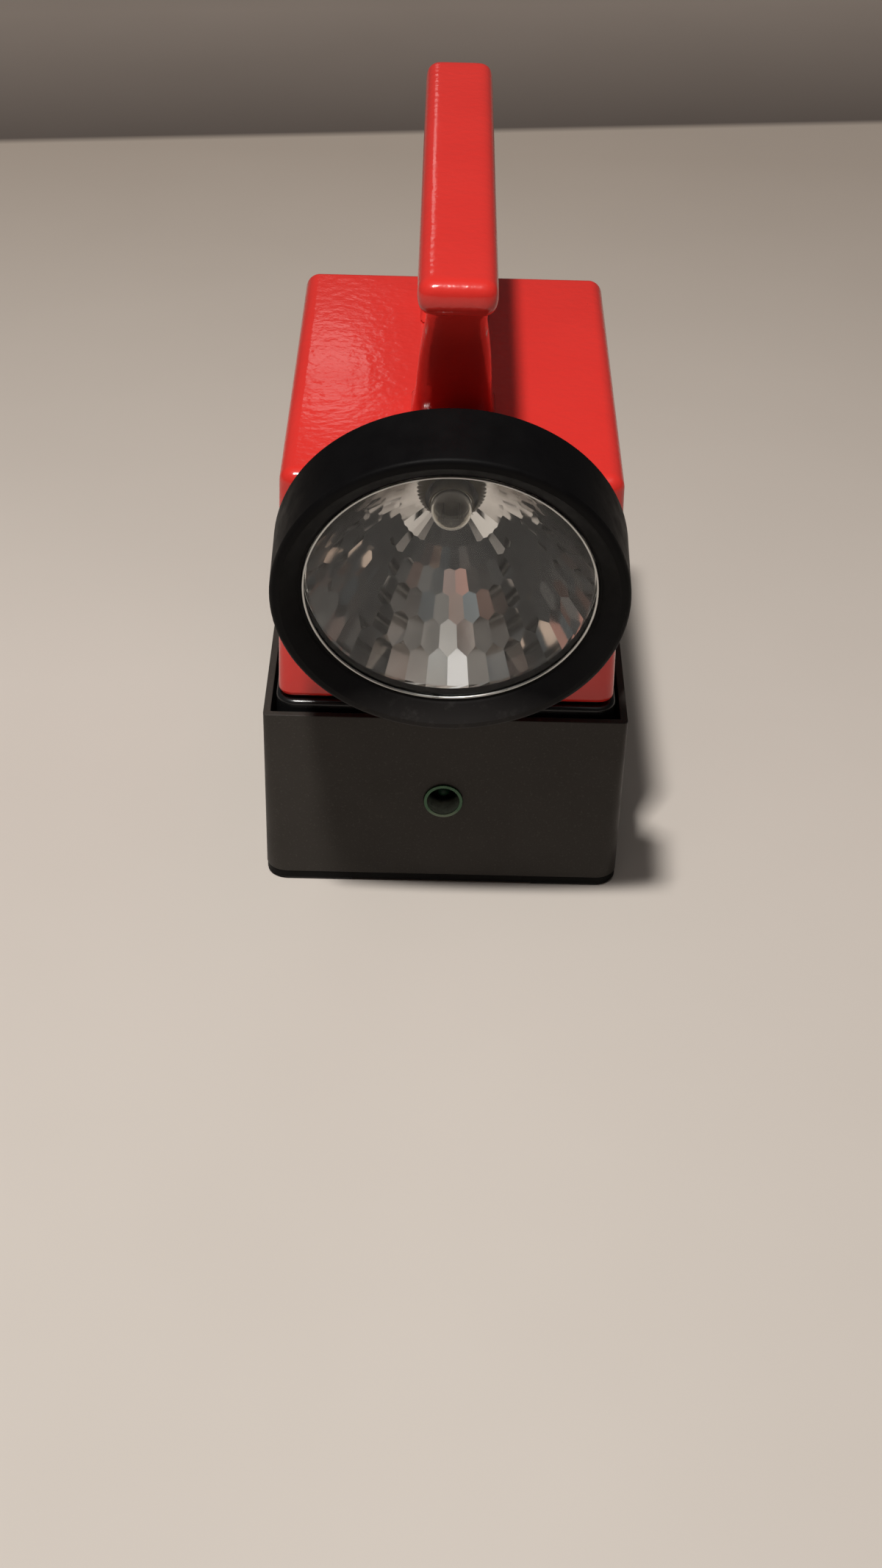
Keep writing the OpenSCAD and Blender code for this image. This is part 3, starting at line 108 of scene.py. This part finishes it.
class Nodes:
    """A short way to write node trees."""

    def __init__(self, name):
        self.material = bpy.data.materials.new(name)
        self.material.use_nodes = True
        self.tree = self.material.node_tree
        self.shader = self.tree.nodes["Principled BSDF"]
        self.coords = self.tree.nodes.new("ShaderNodeTexCoord").outputs["Object"]

    def link(self, a, b):
        self.tree.links.new(a, b)

    def set(self, **values):
        for key, value in values.items():
            self.shader.inputs[key.replace("_", " ")].default_value = value

    def place(self, node, stretch):
        """Feeds a texture the piece's own coordinates, stretched along its axes if asked."""
        vector = self.coords
        if stretch:
            mapping = self.tree.nodes.new("ShaderNodeMapping")
            mapping.inputs["Scale"].default_value = stretch
            self.link(vector, mapping.inputs["Vector"])
            vector = mapping.outputs["Vector"]
        self.link(vector, node.inputs["Vector"])

    def noise(self, scale, detail=3.0, rough=0.55, stretch=None):
        node = self.tree.nodes.new("ShaderNodeTexNoise")
        node.inputs["Scale"].default_value = scale
        node.inputs["Detail"].default_value = detail
        node.inputs["Roughness"].default_value = rough
        self.place(node, stretch)
        return node.outputs["Fac"]

    def cells(self, scale, stretch=None):
        node = self.tree.nodes.new("ShaderNodeTexVoronoi")
        node.inputs["Scale"].default_value = scale
        self.place(node, stretch)
        return node.outputs["Distance"]

    def bands(self, scale, direction, distortion=0.0):
        node = self.tree.nodes.new("ShaderNodeTexWave")
        node.bands_direction = direction
        node.inputs["Scale"].default_value = scale
        node.inputs["Distortion"].default_value = distortion
        self.place(node, None)
        return node.outputs["Fac"]

    def ramp(self, source, stops):
        node = self.tree.nodes.new("ShaderNodeValToRGB")
        ramp = node.color_ramp
        while len(ramp.elements) < len(stops):
            ramp.elements.new(0.5)
        for element, (at, value) in zip(ramp.elements, stops):
            element.position = at
            if isinstance(value, (int, float)):
                value = (value, value, value)
            element.color = (*value, 1.0)
        self.link(source, node.inputs["Fac"])
        return node.outputs["Color"]

    def range(self, source, low, high, to_low, to_high):
        node = self.tree.nodes.new("ShaderNodeMapRange")
        node.clamp = True
        for key, value in zip(("From Min", "From Max", "To Min", "To Max"), (low, high, to_low, to_high)):
            node.inputs[key].default_value = value
        self.link(source, node.inputs["Value"])
        return node.outputs["Result"]

    def math(self, kind, a, b=None):
        node = self.tree.nodes.new("ShaderNodeMath")
        node.operation = kind
        for slot, value in zip(node.inputs, (a, b)):
            if value is None:
                continue
            if isinstance(value, (int, float)):
                slot.default_value = value
            else:
                self.link(value, slot)
        return node.outputs["Value"]

    def mix(self, amount, a, b):
        node = self.tree.nodes.new("ShaderNodeMix")
        node.data_type = "RGBA"
        for slot, value in ((node.inputs[0], amount), (node.inputs[6], a), (node.inputs[7], b)):
            if isinstance(value, (int, float)):
                slot.default_value = value
            elif isinstance(value, tuple):
                slot.default_value = (*value, 1.0)
            else:
                self.link(value, slot)
        return node.outputs[2]

    def axis(self, name):
        node = self.tree.nodes.new("ShaderNodeSeparateXYZ")
        self.link(self.coords, node.inputs[0])
        return node.outputs[name]

    def color(self, source):
        self.link(source, self.shader.inputs["Base Color"])

    def roughness(self, source):
        self.link(source, self.shader.inputs["Roughness"])

    def bump(self, *layers, edge=None):
        """Layers of (height, strength, distance), over edges rounded by the radius edge."""
        normal = None
        if edge:
            node = self.tree.nodes.new("ShaderNodeBevel")
            node.samples = 6
            node.inputs["Radius"].default_value = edge
            normal = node.outputs["Normal"]
        for height, strength, distance in layers:
            node = self.tree.nodes.new("ShaderNodeBump")
            node.inputs["Strength"].default_value = strength
            node.inputs["Distance"].default_value = distance
            self.link(height, node.inputs["Height"])
            if normal is not None:
                self.link(normal, node.inputs["Normal"])
            normal = node.outputs["Normal"]
        self.link(normal, self.shader.inputs["Normal"])


def red_paint(name="red_enamel", cup=False):
    """Red enamel; with cup, black on the head cup that stands out of the housing's box."""
    m = Nodes(name)
    tone = m.ramp(m.noise(18.0, 3.0), [(0.3, (0.66, 0.030, 0.0235)), (0.7, (0.70, 0.035, 0.0275))])
    speck = m.ramp(m.cells(260.0), [(0.0, 1.0), (0.035, 1.0), (0.05, 0.0), (1.0, 0.0)])
    rare = m.ramp(m.noise(40.0, 1.0), [(0.62, 0.0), (0.68, 1.0)])
    tone = m.mix(m.math("MULTIPLY", speck, rare), tone, (0.16, 0.012, 0.010))
    if cup:
        above = m.range(m.axis("Z"), HOUSING_TOP - PAINT_EDGE, HOUSING_TOP + PAINT_EDGE, 0.0, 1.0)
        ahead = m.range(m.axis("Y"), HOUSING_FRONT + PAINT_EDGE, HOUSING_FRONT - PAINT_EDGE, 0.0, 1.0)
        black = m.ramp(m.noise(90.0, 4.0), [
            (0.3, (0.006, 0.006, 0.0065)), (0.7, (0.010, 0.010, 0.0105))])
        tone = m.mix(m.math("MAXIMUM", above, ahead), tone, black)
    m.color(tone)
    m.roughness(m.range(m.noise(60.0, 4.0), 0.3, 0.7, 0.13, 0.19))
    m.set(IOR=1.5)
    peel = m.noise(260.0, 2.0, 0.5, stretch=(1.0, 1.0, 0.8))
    fine = m.noise(1500.0, 2.0)
    m.bump((peel, 0.30, 0.0006), (fine, 0.04, 0.0002))
    return m.material


def black_base():
    m = Nodes("black_gloss")
    scratch = m.ramp(m.noise(90.0, 6.0, 0.7, stretch=(1.0, 1.0, 14.0)), [(0.60, 0.0), (0.75, 1.0)])
    m.color(m.mix(scratch, (0.0085, 0.0085, 0.009), (0.03, 0.03, 0.031)))
    m.roughness(m.range(m.noise(120.0, 4.0), 0.3, 0.7, 0.16, 0.30))
    m.bump((m.noise(900.0, 3.0), 0.05, 0.0003), edge=0.0006)
    m.set(IOR=1.5)
    return m.material


def black_rubber():
    m = Nodes("black_rubber")
    tone = m.ramp(m.noise(70.0, 5.0), [(0.3, (0.0028, 0.0026, 0.0029)), (0.75, (0.0040, 0.0038, 0.0041))])
    scuff = m.ramp(m.noise(160.0, 8.0, 0.75), [(0.52, 0.0), (0.72, 1.0)])
    # Towards the ring's foot the rubber is painted lighter grey, painted light standing in for the lit
    # lower band, with scuff marks laid over the same band
    foot_light_and_wear = m.range(m.axis("Z"), RING_FOOT + 0.016, RING_FOOT, 0.0, 1.0)
    tone = m.mix(foot_light_and_wear, tone, (0.026, 0.0240, 0.0232))
    tone = m.mix(m.math("MULTIPLY", scuff, m.math("MULTIPLY", foot_light_and_wear, 0.35)), tone, (0.10, 0.095, 0.09))
    m.color(tone)
    m.roughness(m.range(m.noise(140.0, 4.0), 0.3, 0.7, 0.42, 0.58))
    m.set(Specular_IOR_Level=0.07)
    m.bump((m.noise(2200.0, 2.0), 0.12, 0.0003), (m.noise(240.0, 4.0), 0.05, 0.0004))
    m.set(IOR=1.5)
    return m.material


def small_rubber():
    m = Nodes("plain_rubber")
    m.color(m.ramp(m.noise(120.0, 5.0), [(0.3, (0.010, 0.010, 0.0105)), (0.75, (0.022, 0.022, 0.022))]))
    m.roughness(m.range(m.noise(200.0, 4.0), 0.3, 0.7, 0.5, 0.7))
    m.bump((m.noise(1800.0, 2.0), 0.15, 0.0003))
    return m.material


def cradle_grey():
    m = Nodes("cradle_grey")
    tone = m.ramp(m.noise(26.0, 5.0), [(0.3, (0.034, 0.0300, 0.0262)), (0.75, (0.041, 0.0362, 0.0318))])
    grain = m.ramp(m.noise(1400.0, 2.0), [(0.58, 0.0), (0.78, 1.0)])
    tone = m.mix(m.math("MULTIPLY", grain, 0.5), tone, (0.075, 0.067, 0.060))
    # Pale streaks in the top band of the walls, growing towards the rim
    pale_streaks = m.ramp(m.noise(140.0, 7.0, 0.75, stretch=(1.0, 1.0, 6.0)), [(0.63, 0.0), (0.76, 1.0)])
    rim = m.range(m.axis("Z"), TRAY_RIM - 0.0038, TRAY_RIM, 0.0, 0.6)
    tone = m.mix(m.math("MULTIPLY", pale_streaks, rim), tone, (0.16, 0.15, 0.135))
    m.color(tone)
    m.roughness(m.range(m.noise(80.0, 5.0), 0.3, 0.7, 0.40, 0.54))
    m.bump((m.noise(1500.0, 3.0), 0.14, 0.0003), edge=0.0006)
    m.set(IOR=1.5, Specular_IOR_Level=0.16)
    return m.material


def black_plate():
    m = Nodes("black_plate")
    scuff = m.ramp(m.noise(220.0, 7.0, 0.7, stretch=(1.0, 1.0, 8.0)), [(0.62, 0.0), (0.78, 1.0)])
    m.color(m.mix(m.math("MULTIPLY", scuff, 0.4), (0.0045, 0.0042, 0.0040), (0.030, 0.028, 0.026)))
    m.roughness(m.range(m.noise(150.0, 4.0), 0.3, 0.7, 0.5, 0.65))
    m.bump((m.noise(1300.0, 3.0), 0.12, 0.0002))
    m.set(Specular_IOR_Level=0.10)
    return m.material


def clear_glass(name, ior, tint=(0.97, 0.985, 0.985)):
    m = Nodes(name)
    m.set(Base_Color=(*tint, 1.0), Transmission_Weight=1.0, IOR=ior)
    m.roughness(m.range(m.noise(60.0, 4.0), 0.45, 0.8, 0.0, 0.02))
    return m.material


def mirror_coat():
    """Mirror, darker and browner to both sides of the lamp in its upper half."""
    m = Nodes("mirror_coat")
    m.set(Metallic=1.0)
    bright = m.ramp(m.noise(45.0, 4.0), [(0.3, (0.79, 0.765, 0.745)), (0.7, (0.87, 0.845, 0.825))])
    high = m.range(m.axis("Z"), 0.148, 0.156, 0.0, 1.0)
    aside = m.range(m.math("ABSOLUTE", m.axis("X")), 0.010, 0.015, 0.0, 0.9)
    patchy = m.range(m.noise(90.0, 4.0), 0.3, 0.6, 0.7, 1.0)
    upper_side_darkening = m.math("MULTIPLY", m.math("MULTIPLY", high, aside), patchy)
    m.color(m.mix(upper_side_darkening, bright, (0.16, 0.130, 0.112)))
    m.roughness(m.range(m.noise(130.0, 4.0), 0.3, 0.7, 0.03, 0.09))
    return m.material


def metal(name, dark, light, low, high, grain=700.0):
    m = Nodes(name)
    m.set(Metallic=1.0)
    m.color(m.ramp(m.noise(150.0, 5.0), [(0.3, dark), (0.7, light)]))
    m.roughness(m.range(m.noise(300.0, 4.0), 0.3, 0.7, low, high))
    m.bump((m.noise(grain, 3.0), 0.08, 0.0002))
    return m.material


def moulding(name, dark, light, low=0.35, high=0.55, grain=1200.0):
    m = Nodes(name)
    m.color(m.ramp(m.noise(90.0, 5.0), [(0.3, dark), (0.7, light)]))
    m.roughness(m.range(m.noise(160.0, 4.0), 0.3, 0.7, low, high))
    m.bump((m.noise(grain, 3.0), 0.12, 0.0002))
    return m.material


def board():
    m = Nodes("circuit_board")
    tracks = m.ramp(m.cells(230.0, stretch=(1.0, 2.2, 1.0)), [(0.30, 1.0), (0.38, 0.0)])
    m.color(m.mix(tracks, (0.018, 0.085, 0.030), (0.045, 0.19, 0.065)))
    m.roughness(m.range(m.noise(200.0, 4.0), 0.3, 0.7, 0.25, 0.45))
    m.bump((tracks, 0.2, 0.0001))
    return m.material


def laminations():
    m = Nodes("laminated_iron")
    stack = m.bands(320.0, "Y")
    m.color(m.ramp(stack, [(0.2, (0.05, 0.05, 0.052)), (0.8, (0.16, 0.16, 0.165))]))
    m.set(Metallic=0.8)
    m.roughness(m.range(m.noise(200.0, 4.0), 0.3, 0.7, 0.35, 0.6))
    m.bump((stack, 0.4, 0.0002))
    return m.material


def winding():
    m = Nodes("coil_tape")
    lap = m.bands(70.0, "Z", 0.6)
    m.color(m.ramp(lap, [(0.1, (0.16, 0.05, 0.016)), (0.9, (0.30, 0.11, 0.035))]))
    m.roughness(m.range(m.noise(150.0, 4.0), 0.3, 0.7, 0.25, 0.45))
    m.bump((lap, 0.3, 0.0003))
    return m.material


def bezel_green():
    """Green rim, paler towards its bottom, round a cup painted near black inside as painted shade, with
    painted light on the lower wall near its mouth.
    """
    m = Nodes("green_bezel")
    tone = m.ramp(m.noise(300.0, 4.0), [(0.3, (0.016, 0.088, 0.028)), (0.7, (0.024, 0.118, 0.040))])
    # Paler towards the bottom of the rim
    tone = m.mix(m.range(m.axis("Z"), 0.0330, 0.0290, 0.0, 0.75), tone, (0.20, 0.23, 0.16))
    # Deeper than its mouth the cup is painted near black: painted shade inside the recess
    inside = m.range(m.axis("Y"), -0.0724, -0.0716, 0.0, 1.0)
    # Painted light: the lower wall near the cup's mouth is painted pale grey-green where light falls into
    # the cup
    low = m.range(m.axis("Z"), 0.0355, 0.0305, 0.0, 1.0)
    low = m.math("MULTIPLY", low, m.range(m.axis("Y"), -0.0660, -0.0635, 1.0, 0.0))
    floor_painted_light = m.math("MULTIPLY", low, m.ramp(m.noise(700.0, 4.0), [(0.3, 0.75), (0.7, 1.0)]))
    cup = m.mix(floor_painted_light, (0.004, 0.014, 0.008), (0.62, 0.70, 0.60))
    m.color(m.mix(inside, tone, cup))
    m.roughness(m.range(m.noise(300.0, 3.0), 0.3, 0.7, 0.22, 0.4))
    return m.material


def lamp_green():
    m = Nodes("green_lamp")
    m.color(m.ramp(m.noise(500.0, 3.0), [(0.3, (0.006, 0.030, 0.014)), (0.7, (0.010, 0.045, 0.021))]))
    m.roughness(m.range(m.noise(400.0, 3.0), 0.3, 0.7, 0.4, 0.55))
    m.set(Transmission_Weight=0.15, IOR=1.49, Specular_IOR_Level=0.15)
    return m.material


MATERIALS = {
    "red_paint": red_paint(),
    "black_base": black_base(),
    "black_rubber": small_rubber(),
    "cradle_grey": cradle_grey(),
    "clear_glass": clear_glass("lamp_glass", 1.38, (0.66, 0.64, 0.58)),
    "mirror_coat": mirror_coat(),
    "brass_contact": metal("bright_brass", (0.55, 0.38, 0.13), (0.72, 0.54, 0.24), 0.2, 0.4),
    "zinc_steel": metal("zinc_steel", (0.42, 0.43, 0.44), (0.62, 0.63, 0.64), 0.25, 0.45),
    "tungsten": metal("tungsten", (0.18, 0.18, 0.19), (0.30, 0.30, 0.31), 0.4, 0.6),
    "cream_moulding": moulding("cream_moulding", (0.50, 0.46, 0.37), (0.66, 0.62, 0.52)),
    "black_moulding": moulding("black_moulding", (0.010, 0.010, 0.011), (0.020, 0.020, 0.021), 0.3, 0.5),
    "battery_case": moulding("battery_case", (0.040, 0.044, 0.048), (0.065, 0.070, 0.076)),
    "foam": moulding("foam_strip", (0.04, 0.04, 0.04), (0.085, 0.085, 0.085), 0.8, 0.95, 500.0),
    "board_green": board(),
    "lead_red": moulding("red_lead", (0.30, 0.016, 0.014), (0.42, 0.026, 0.022), 0.35, 0.55),
    "lead_white": moulding("white_lead", (0.60, 0.57, 0.49), (0.76, 0.73, 0.65), 0.35, 0.55),
    "lead_black": moulding("black_lead", (0.012, 0.012, 0.012), (0.024, 0.024, 0.024), 0.35, 0.55),
    "laminated_iron": laminations(),
    "coil_tape": winding(),
    "capacitor_sleeve": moulding("blue_sleeve", (0.016, 0.042, 0.12), (0.025, 0.06, 0.17), 0.2, 0.35),
    "green_bezel": bezel_green(),
    "green_lamp": lamp_green(),
    "spring_wire": metal("spring_wire", (0.40, 0.40, 0.41), (0.58, 0.58, 0.59), 0.2, 0.4),
}
SPECIAL = {
    "housing": red_paint("red_enamel_black_cup", True),
    "cradle_base_plate": black_plate(),
    "head_ring": black_rubber(),
    "lens": clear_glass("front_glass", 1.3),
    "bulb_filament": metal("dark_wire", (0.030, 0.029, 0.028), (0.060, 0.058, 0.056), 0.35, 0.55),
    "bulb_cap": metal("dark_cap", (0.045, 0.040, 0.030), (0.085, 0.075, 0.058), 0.3, 0.5),
}

for entry in frame["record"]["subparts"]:
    obj = nodes[entry["node"]]
    obj.data.materials.clear()
    obj.data.materials.append(SPECIAL.get(entry["node"], MATERIALS[entry["material_slot"]]))


# Faceted CAD solids that show, and springs that shorten, get a smooth-shaded copy of their own shape

CREASE = math.radians(32)  # sharper edges stay sharp
ROUND_CREASE = math.radians(40)
HANDLE_VOXEL = 0.0008
HANDLE_ROUNDS = 10
HANDLE_STILL = 0.0012  # height of the feet that keeps its CAD shape
REAR_POST_Y = 0.02
REAR_FOOT_LESS = 0.13  # share of the rear foot's width taken off, fading out over its height
REAR_FOOT_H = 0.03


def smooth_copy(name, node, body, angle):
    source = nodes[node]
    mesh = source.data.copy()
    bm = bmesh.new()
    bm.from_mesh(mesh)
    bmesh.ops.remove_doubles(bm, verts=bm.verts, dist=1e-6)
    for face in bm.faces:
        face.smooth = True
    for edge in bm.edges:
        edge.smooth = len(edge.link_faces) == 2 and edge.calc_face_angle(0.0) < angle
    bm.to_mesh(mesh)
    bm.free()
    obj = bpy.data.objects.new(name, mesh)
    scene.collection.objects.link(obj)
    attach(obj, body)
    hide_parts(node)
    return obj


def cast_copy(name, node, body, voxel, rounds, level):
    """Remeshed copy with corners and joins eased, as by paint over a casting; kept still below level."""
    obj = smooth_copy(name, node, body, ROUND_CREASE)
    remesh = obj.modifiers.new("remesh", "REMESH")
    remesh.mode = "VOXEL"
    remesh.voxel_size = voxel
    bpy.context.view_layer.update()
    graph = bpy.context.evaluated_depsgraph_get()
    mesh = bpy.data.meshes.new_from_object(obj.evaluated_get(graph))
    obj.modifiers.clear()
    bm = bmesh.new()
    bm.from_mesh(mesh)
    free = [v for v in bm.verts if v.co.z > level]
    for _ in range(rounds):
        bmesh.ops.smooth_vert(
            bm, verts=free, factor=0.5, use_axis_x=True, use_axis_y=True, use_axis_z=True)
    for vert in bm.verts:
        if vert.co.y > REAR_POST_Y:
            low = max(0.0, min(1.0, (level + REAR_FOOT_H - vert.co.z) / REAR_FOOT_H))
            vert.co.x *= 1.0 - REAR_FOOT_LESS * low
    for face in bm.faces:
        face.smooth = True
    bm.to_mesh(mesh)
    bm.free()
    obj.data = mesh


smooth_copy("housing_shell", "housing", "lantern", CREASE)
cast_copy("handle_casting", "handle", "lantern", HANDLE_VOXEL, HANDLE_ROUNDS,
          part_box("handle")[0][2] + HANDLE_STILL)
smooth_copy("base_moulding", "lantern_base", "lantern", CREASE)
smooth_copy("tray_moulding", "cradle_tray", "cradle", CREASE)
for side in ("left", "right"):
    spring = smooth_copy("coil_spring_" + side, "contact_spring_" + side, "cradle", ROUND_CREASE)
    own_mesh(spring)


# The bright wire that shows round the edge of the glass


def head_point(along, radius, angle):
    """Point in the head's own frame: along its axis from the front rim, and round it."""
    side = Vector((1.0, 0.0, 0.0))
    outward = side * (radius * math.cos(angle)) + HEAD_UP * (radius * math.sin(angle))
    return HEAD_AT + HEAD_AXIS * along + outward


def glass_wire(radius=0.04515, thick=0.00045, along=0.0050, steps=160, sides=12):
    bm = bmesh.new()
    loops = []
    for i in range(steps):
        angle = 2.0 * math.pi * i / steps
        loop = []
        for j in range(sides):
            turn = 2.0 * math.pi * j / sides
            loop.append(bm.verts.new(head_point(
                along + thick * math.sin(turn), radius + thick * math.cos(turn), angle)))
        loops.append(loop)
    for i in range(steps):
        a, b = loops[i], loops[(i + 1) % steps]
        for j in range(sides):
            face = bm.faces.new((a[j], a[(j + 1) % sides], b[(j + 1) % sides], b[j]))
            face.smooth = True
    bmesh.ops.recalc_face_normals(bm, faces=bm.faces)
    mesh = bpy.data.meshes.new("glass_wire")
    bm.to_mesh(mesh)
    bm.free()
    obj = bpy.data.objects.new("glass_wire", mesh)
    mesh.materials.append(metal("bright_wire", (0.44, 0.44, 0.42), (0.60, 0.60, 0.58), 0.26, 0.42))
    scene.collection.objects.link(obj)
    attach(obj, "lantern")


glass_wire()


# Floor and light

BLACK = (0.0, 0.0, 0.0)
WHITE = (1.0, 1.0, 1.0)
WARM = (1.0, 0.97, 0.93)
TABLE_HALF = 3.0
TABLE_END = 0.69  # Y of the pale table's rear edge at X = 0
TABLE_SKEW = 0.1349  # rise of that edge's Y along X
TABLE_BLUR = 0.005


def plane(name, corners, material):
    mesh = bpy.data.meshes.new(name)
    mesh.from_pydata(corners, [], [tuple(range(len(corners)))])
    obj = bpy.data.objects.new(name, mesh)
    obj.data.materials.append(material)
    scene.collection.objects.link(obj)


def table_top():
    """Pale table, painted darker towards the rear and the right as painted shade, with a darker ground
    beyond its rear edge, which runs a little askew; that ground is painted darkest next to the edge as
    painted shade.
    """
    m = Nodes("table_top")
    pale = m.ramp(m.noise(3.0, 4.0), [(0.3, (0.580, 0.530, 0.483)), (0.7, (0.608, 0.558, 0.510))])
    # Painted shade: the table is painted darker and browner towards the rear and towards the right, where
    # less light falls
    far_painted_shade = m.range(m.axis("Y"), 0.05, 0.65, 0.0, 1.0)
    pale = m.mix(far_painted_shade, pale, (0.405, 0.345, 0.295))
    pale = m.mix(m.range(m.axis("X"), 0.0, 0.6, 0.0, 0.42), pale, (0.300, 0.255, 0.225))
    beyond = m.math("SUBTRACT", m.axis("Y"), m.math("MULTIPLY", m.axis("X"), TABLE_SKEW))
    # Beyond the rear edge the ground is darker, and painted darkest next to the edge as painted shade
    dark = m.ramp(m.range(beyond, TABLE_END, TABLE_END + 0.26, 0.0, 1.0), [
        (0.0, (0.105, 0.086, 0.075)), (1.0, (0.27, 0.226, 0.196))])
    edge = m.range(beyond, TABLE_END - TABLE_BLUR, TABLE_END + TABLE_BLUR, 0.0, 1.0)
    m.color(m.mix(edge, pale, dark))
    m.roughness(m.range(m.noise(9.0, 4.0), 0.3, 0.7, 0.5, 0.6))
    return m.material


plane("table", [
    (-TABLE_HALF, -TABLE_HALF, 0.0), (TABLE_HALF, -TABLE_HALF, 0.0),
    (TABLE_HALF, TABLE_HALF, 0.0), (-TABLE_HALF, TABLE_HALF, 0.0),
], table_top())


def area(name, at, aim, size, power):
    data = bpy.data.lights.new(name, "AREA")
    data.shape = "RECTANGLE"
    data.size, data.size_y = size
    data.energy = power
    data.color = WARM
    obj = bpy.data.objects.new(name, data)
    obj.location = at
    obj.rotation_euler = (Vector(aim) - Vector(at)).to_track_quat("-Z", "Y").to_euler()
    scene.collection.objects.link(obj)


area("key", at=(-0.370, -0.80, 2.60), aim=(0.0, 0.0, 0.1), size=(0.19, 0.19), power=70.0)
area("rear_glow", at=(-0.095, 0.66, 0.465), aim=(-0.04, 0.03, 0.158), size=(0.06, 0.10), power=0.022)


def studio_sky():
    """Soft light, strongest above and in front, with patches high up that the mirror shows."""
    sky = bpy.data.worlds.new("studio")
    sky.use_nodes = True
    tree = sky.node_tree

    def add(kind, **inputs):
        node = tree.nodes.new(kind)
        for key, value in inputs.items():
            node.inputs[key].default_value = value
        return node

    def ramp(source, stops):
        node = tree.nodes.new("ShaderNodeValToRGB")
        while len(node.color_ramp.elements) < len(stops):
            node.color_ramp.elements.new(0.5)
        for element, (at, tone) in zip(node.color_ramp.elements, stops):
            element.position = at
            element.color = (*tone, 1.0)
        tree.links.new(source, node.inputs["Fac"])
        return node.outputs["Color"]

    def joined(kind, a, b):
        node = tree.nodes.new("ShaderNodeMix")
        node.data_type = "RGBA"
        node.blend_type = kind
        node.inputs[0].default_value = 1.0
        tree.links.new(a, node.inputs[6])
        tree.links.new(b, node.inputs[7])
        return node.outputs[2]

    def times(a, b):
        return joined("MULTIPLY", a, b)

    def span(source, low, high, to_low, to_high):
        node = add("ShaderNodeMapRange", **{
            "From Min": low, "From Max": high, "To Min": to_low, "To Max": to_high})
        tree.links.new(source, node.inputs["Value"])
        return node.outputs["Result"]

    def grey(level):
        return (level, level * 0.98, level * 0.95)

    def cloud(scale, detail):
        node = add("ShaderNodeTexNoise", Scale=scale, Detail=detail)
        tree.links.new(coords, node.inputs["Vector"])
        return node.outputs["Fac"]

    def spot(toward, inner, outer, tone):
        """Soft round patch of light in one direction, between two angles in degrees."""
        node = tree.nodes.new("ShaderNodeVectorMath")
        node.operation = "DOT_PRODUCT"
        tree.links.new(coords, node.inputs[0])
        node.inputs[1].default_value = Vector(toward).normalized()
        edge = [math.cos(math.radians(angle)) for angle in (outer, inner)]
        return ramp(span(node.outputs["Value"], *edge, 0.0, 1.0), [(0.0, BLACK), (1.0, tone)])

    coords = tree.nodes.new("ShaderNodeTexCoord").outputs["Generated"]
    split = tree.nodes.new("ShaderNodeSeparateXYZ")
    tree.links.new(coords, split.inputs[0])
    rise = [(0.0, 0.020), (0.17, 0.024), (0.34, 0.032), (0.50, 0.045),
            (0.64, 0.075), (0.77, 0.14), (0.87, 0.34), (0.94, 0.60)]
    height = ramp(split.outputs["Z"], [(at, grey(level)) for at, level in rise])
    front = ramp(span(split.outputs["Y"], -0.45, 0.35, 1.0, 0.0), [(0.0, grey(0.22)), (1.0, WHITE)])
    level = ramp(cloud(5.5, 2.0), [(0.36, grey(0.40)), (0.5, grey(0.95)), (0.64, grey(1.9))])
    tint = ramp(cloud(3.6, 1.0), [
        (0.36, (1.30, 0.80, 0.68)), (0.45, WHITE), (0.55, WHITE), (0.64, (0.84, 1.0, 1.12))])
    plain = ramp(span(split.outputs["Z"], 0.30, 0.44, 1.0, 0.0), [(0.0, BLACK), (1.0, WHITE)])
    patches = tree.nodes.new("ShaderNodeMix")
    patches.data_type = "RGBA"
    tree.links.new(plain, patches.inputs[0])
    tree.links.new(times(level, tint), patches.inputs[6])
    patches.inputs[7].default_value = (*WHITE, 1.0)
    wall = times(
        ramp(span(split.outputs["Y"], -0.6, 0.1, 0.0, 1.0), [(0.0, BLACK), (1.0, grey(0.05))]),
        ramp(span(split.outputs["Z"], 0.40, 0.80, 1.0, 0.0), [(0.0, BLACK), (1.0, WHITE)]))
    tone = joined("ADD", times(times(height, front), patches.outputs[2]), wall)
    for patch in (
        spot((-0.12, -0.40, 0.91), 5.0, 9.0, (0.52, 0.53, 0.55)),
        spot((-0.12, -0.75, 0.65), 5.0, 9.0, (0.24, 0.11, 0.085)),
        spot((0.34, -0.87, 0.36), 2.0, 4.0, (0.60, 0.46, 0.36)),
    ):
        tone = joined("ADD", tone, patch)
    tree.links.new(tone, tree.nodes["Background"].inputs["Color"])
    scene.world = sky


studio_sky()
scene.view_settings.view_transform = "Standard"
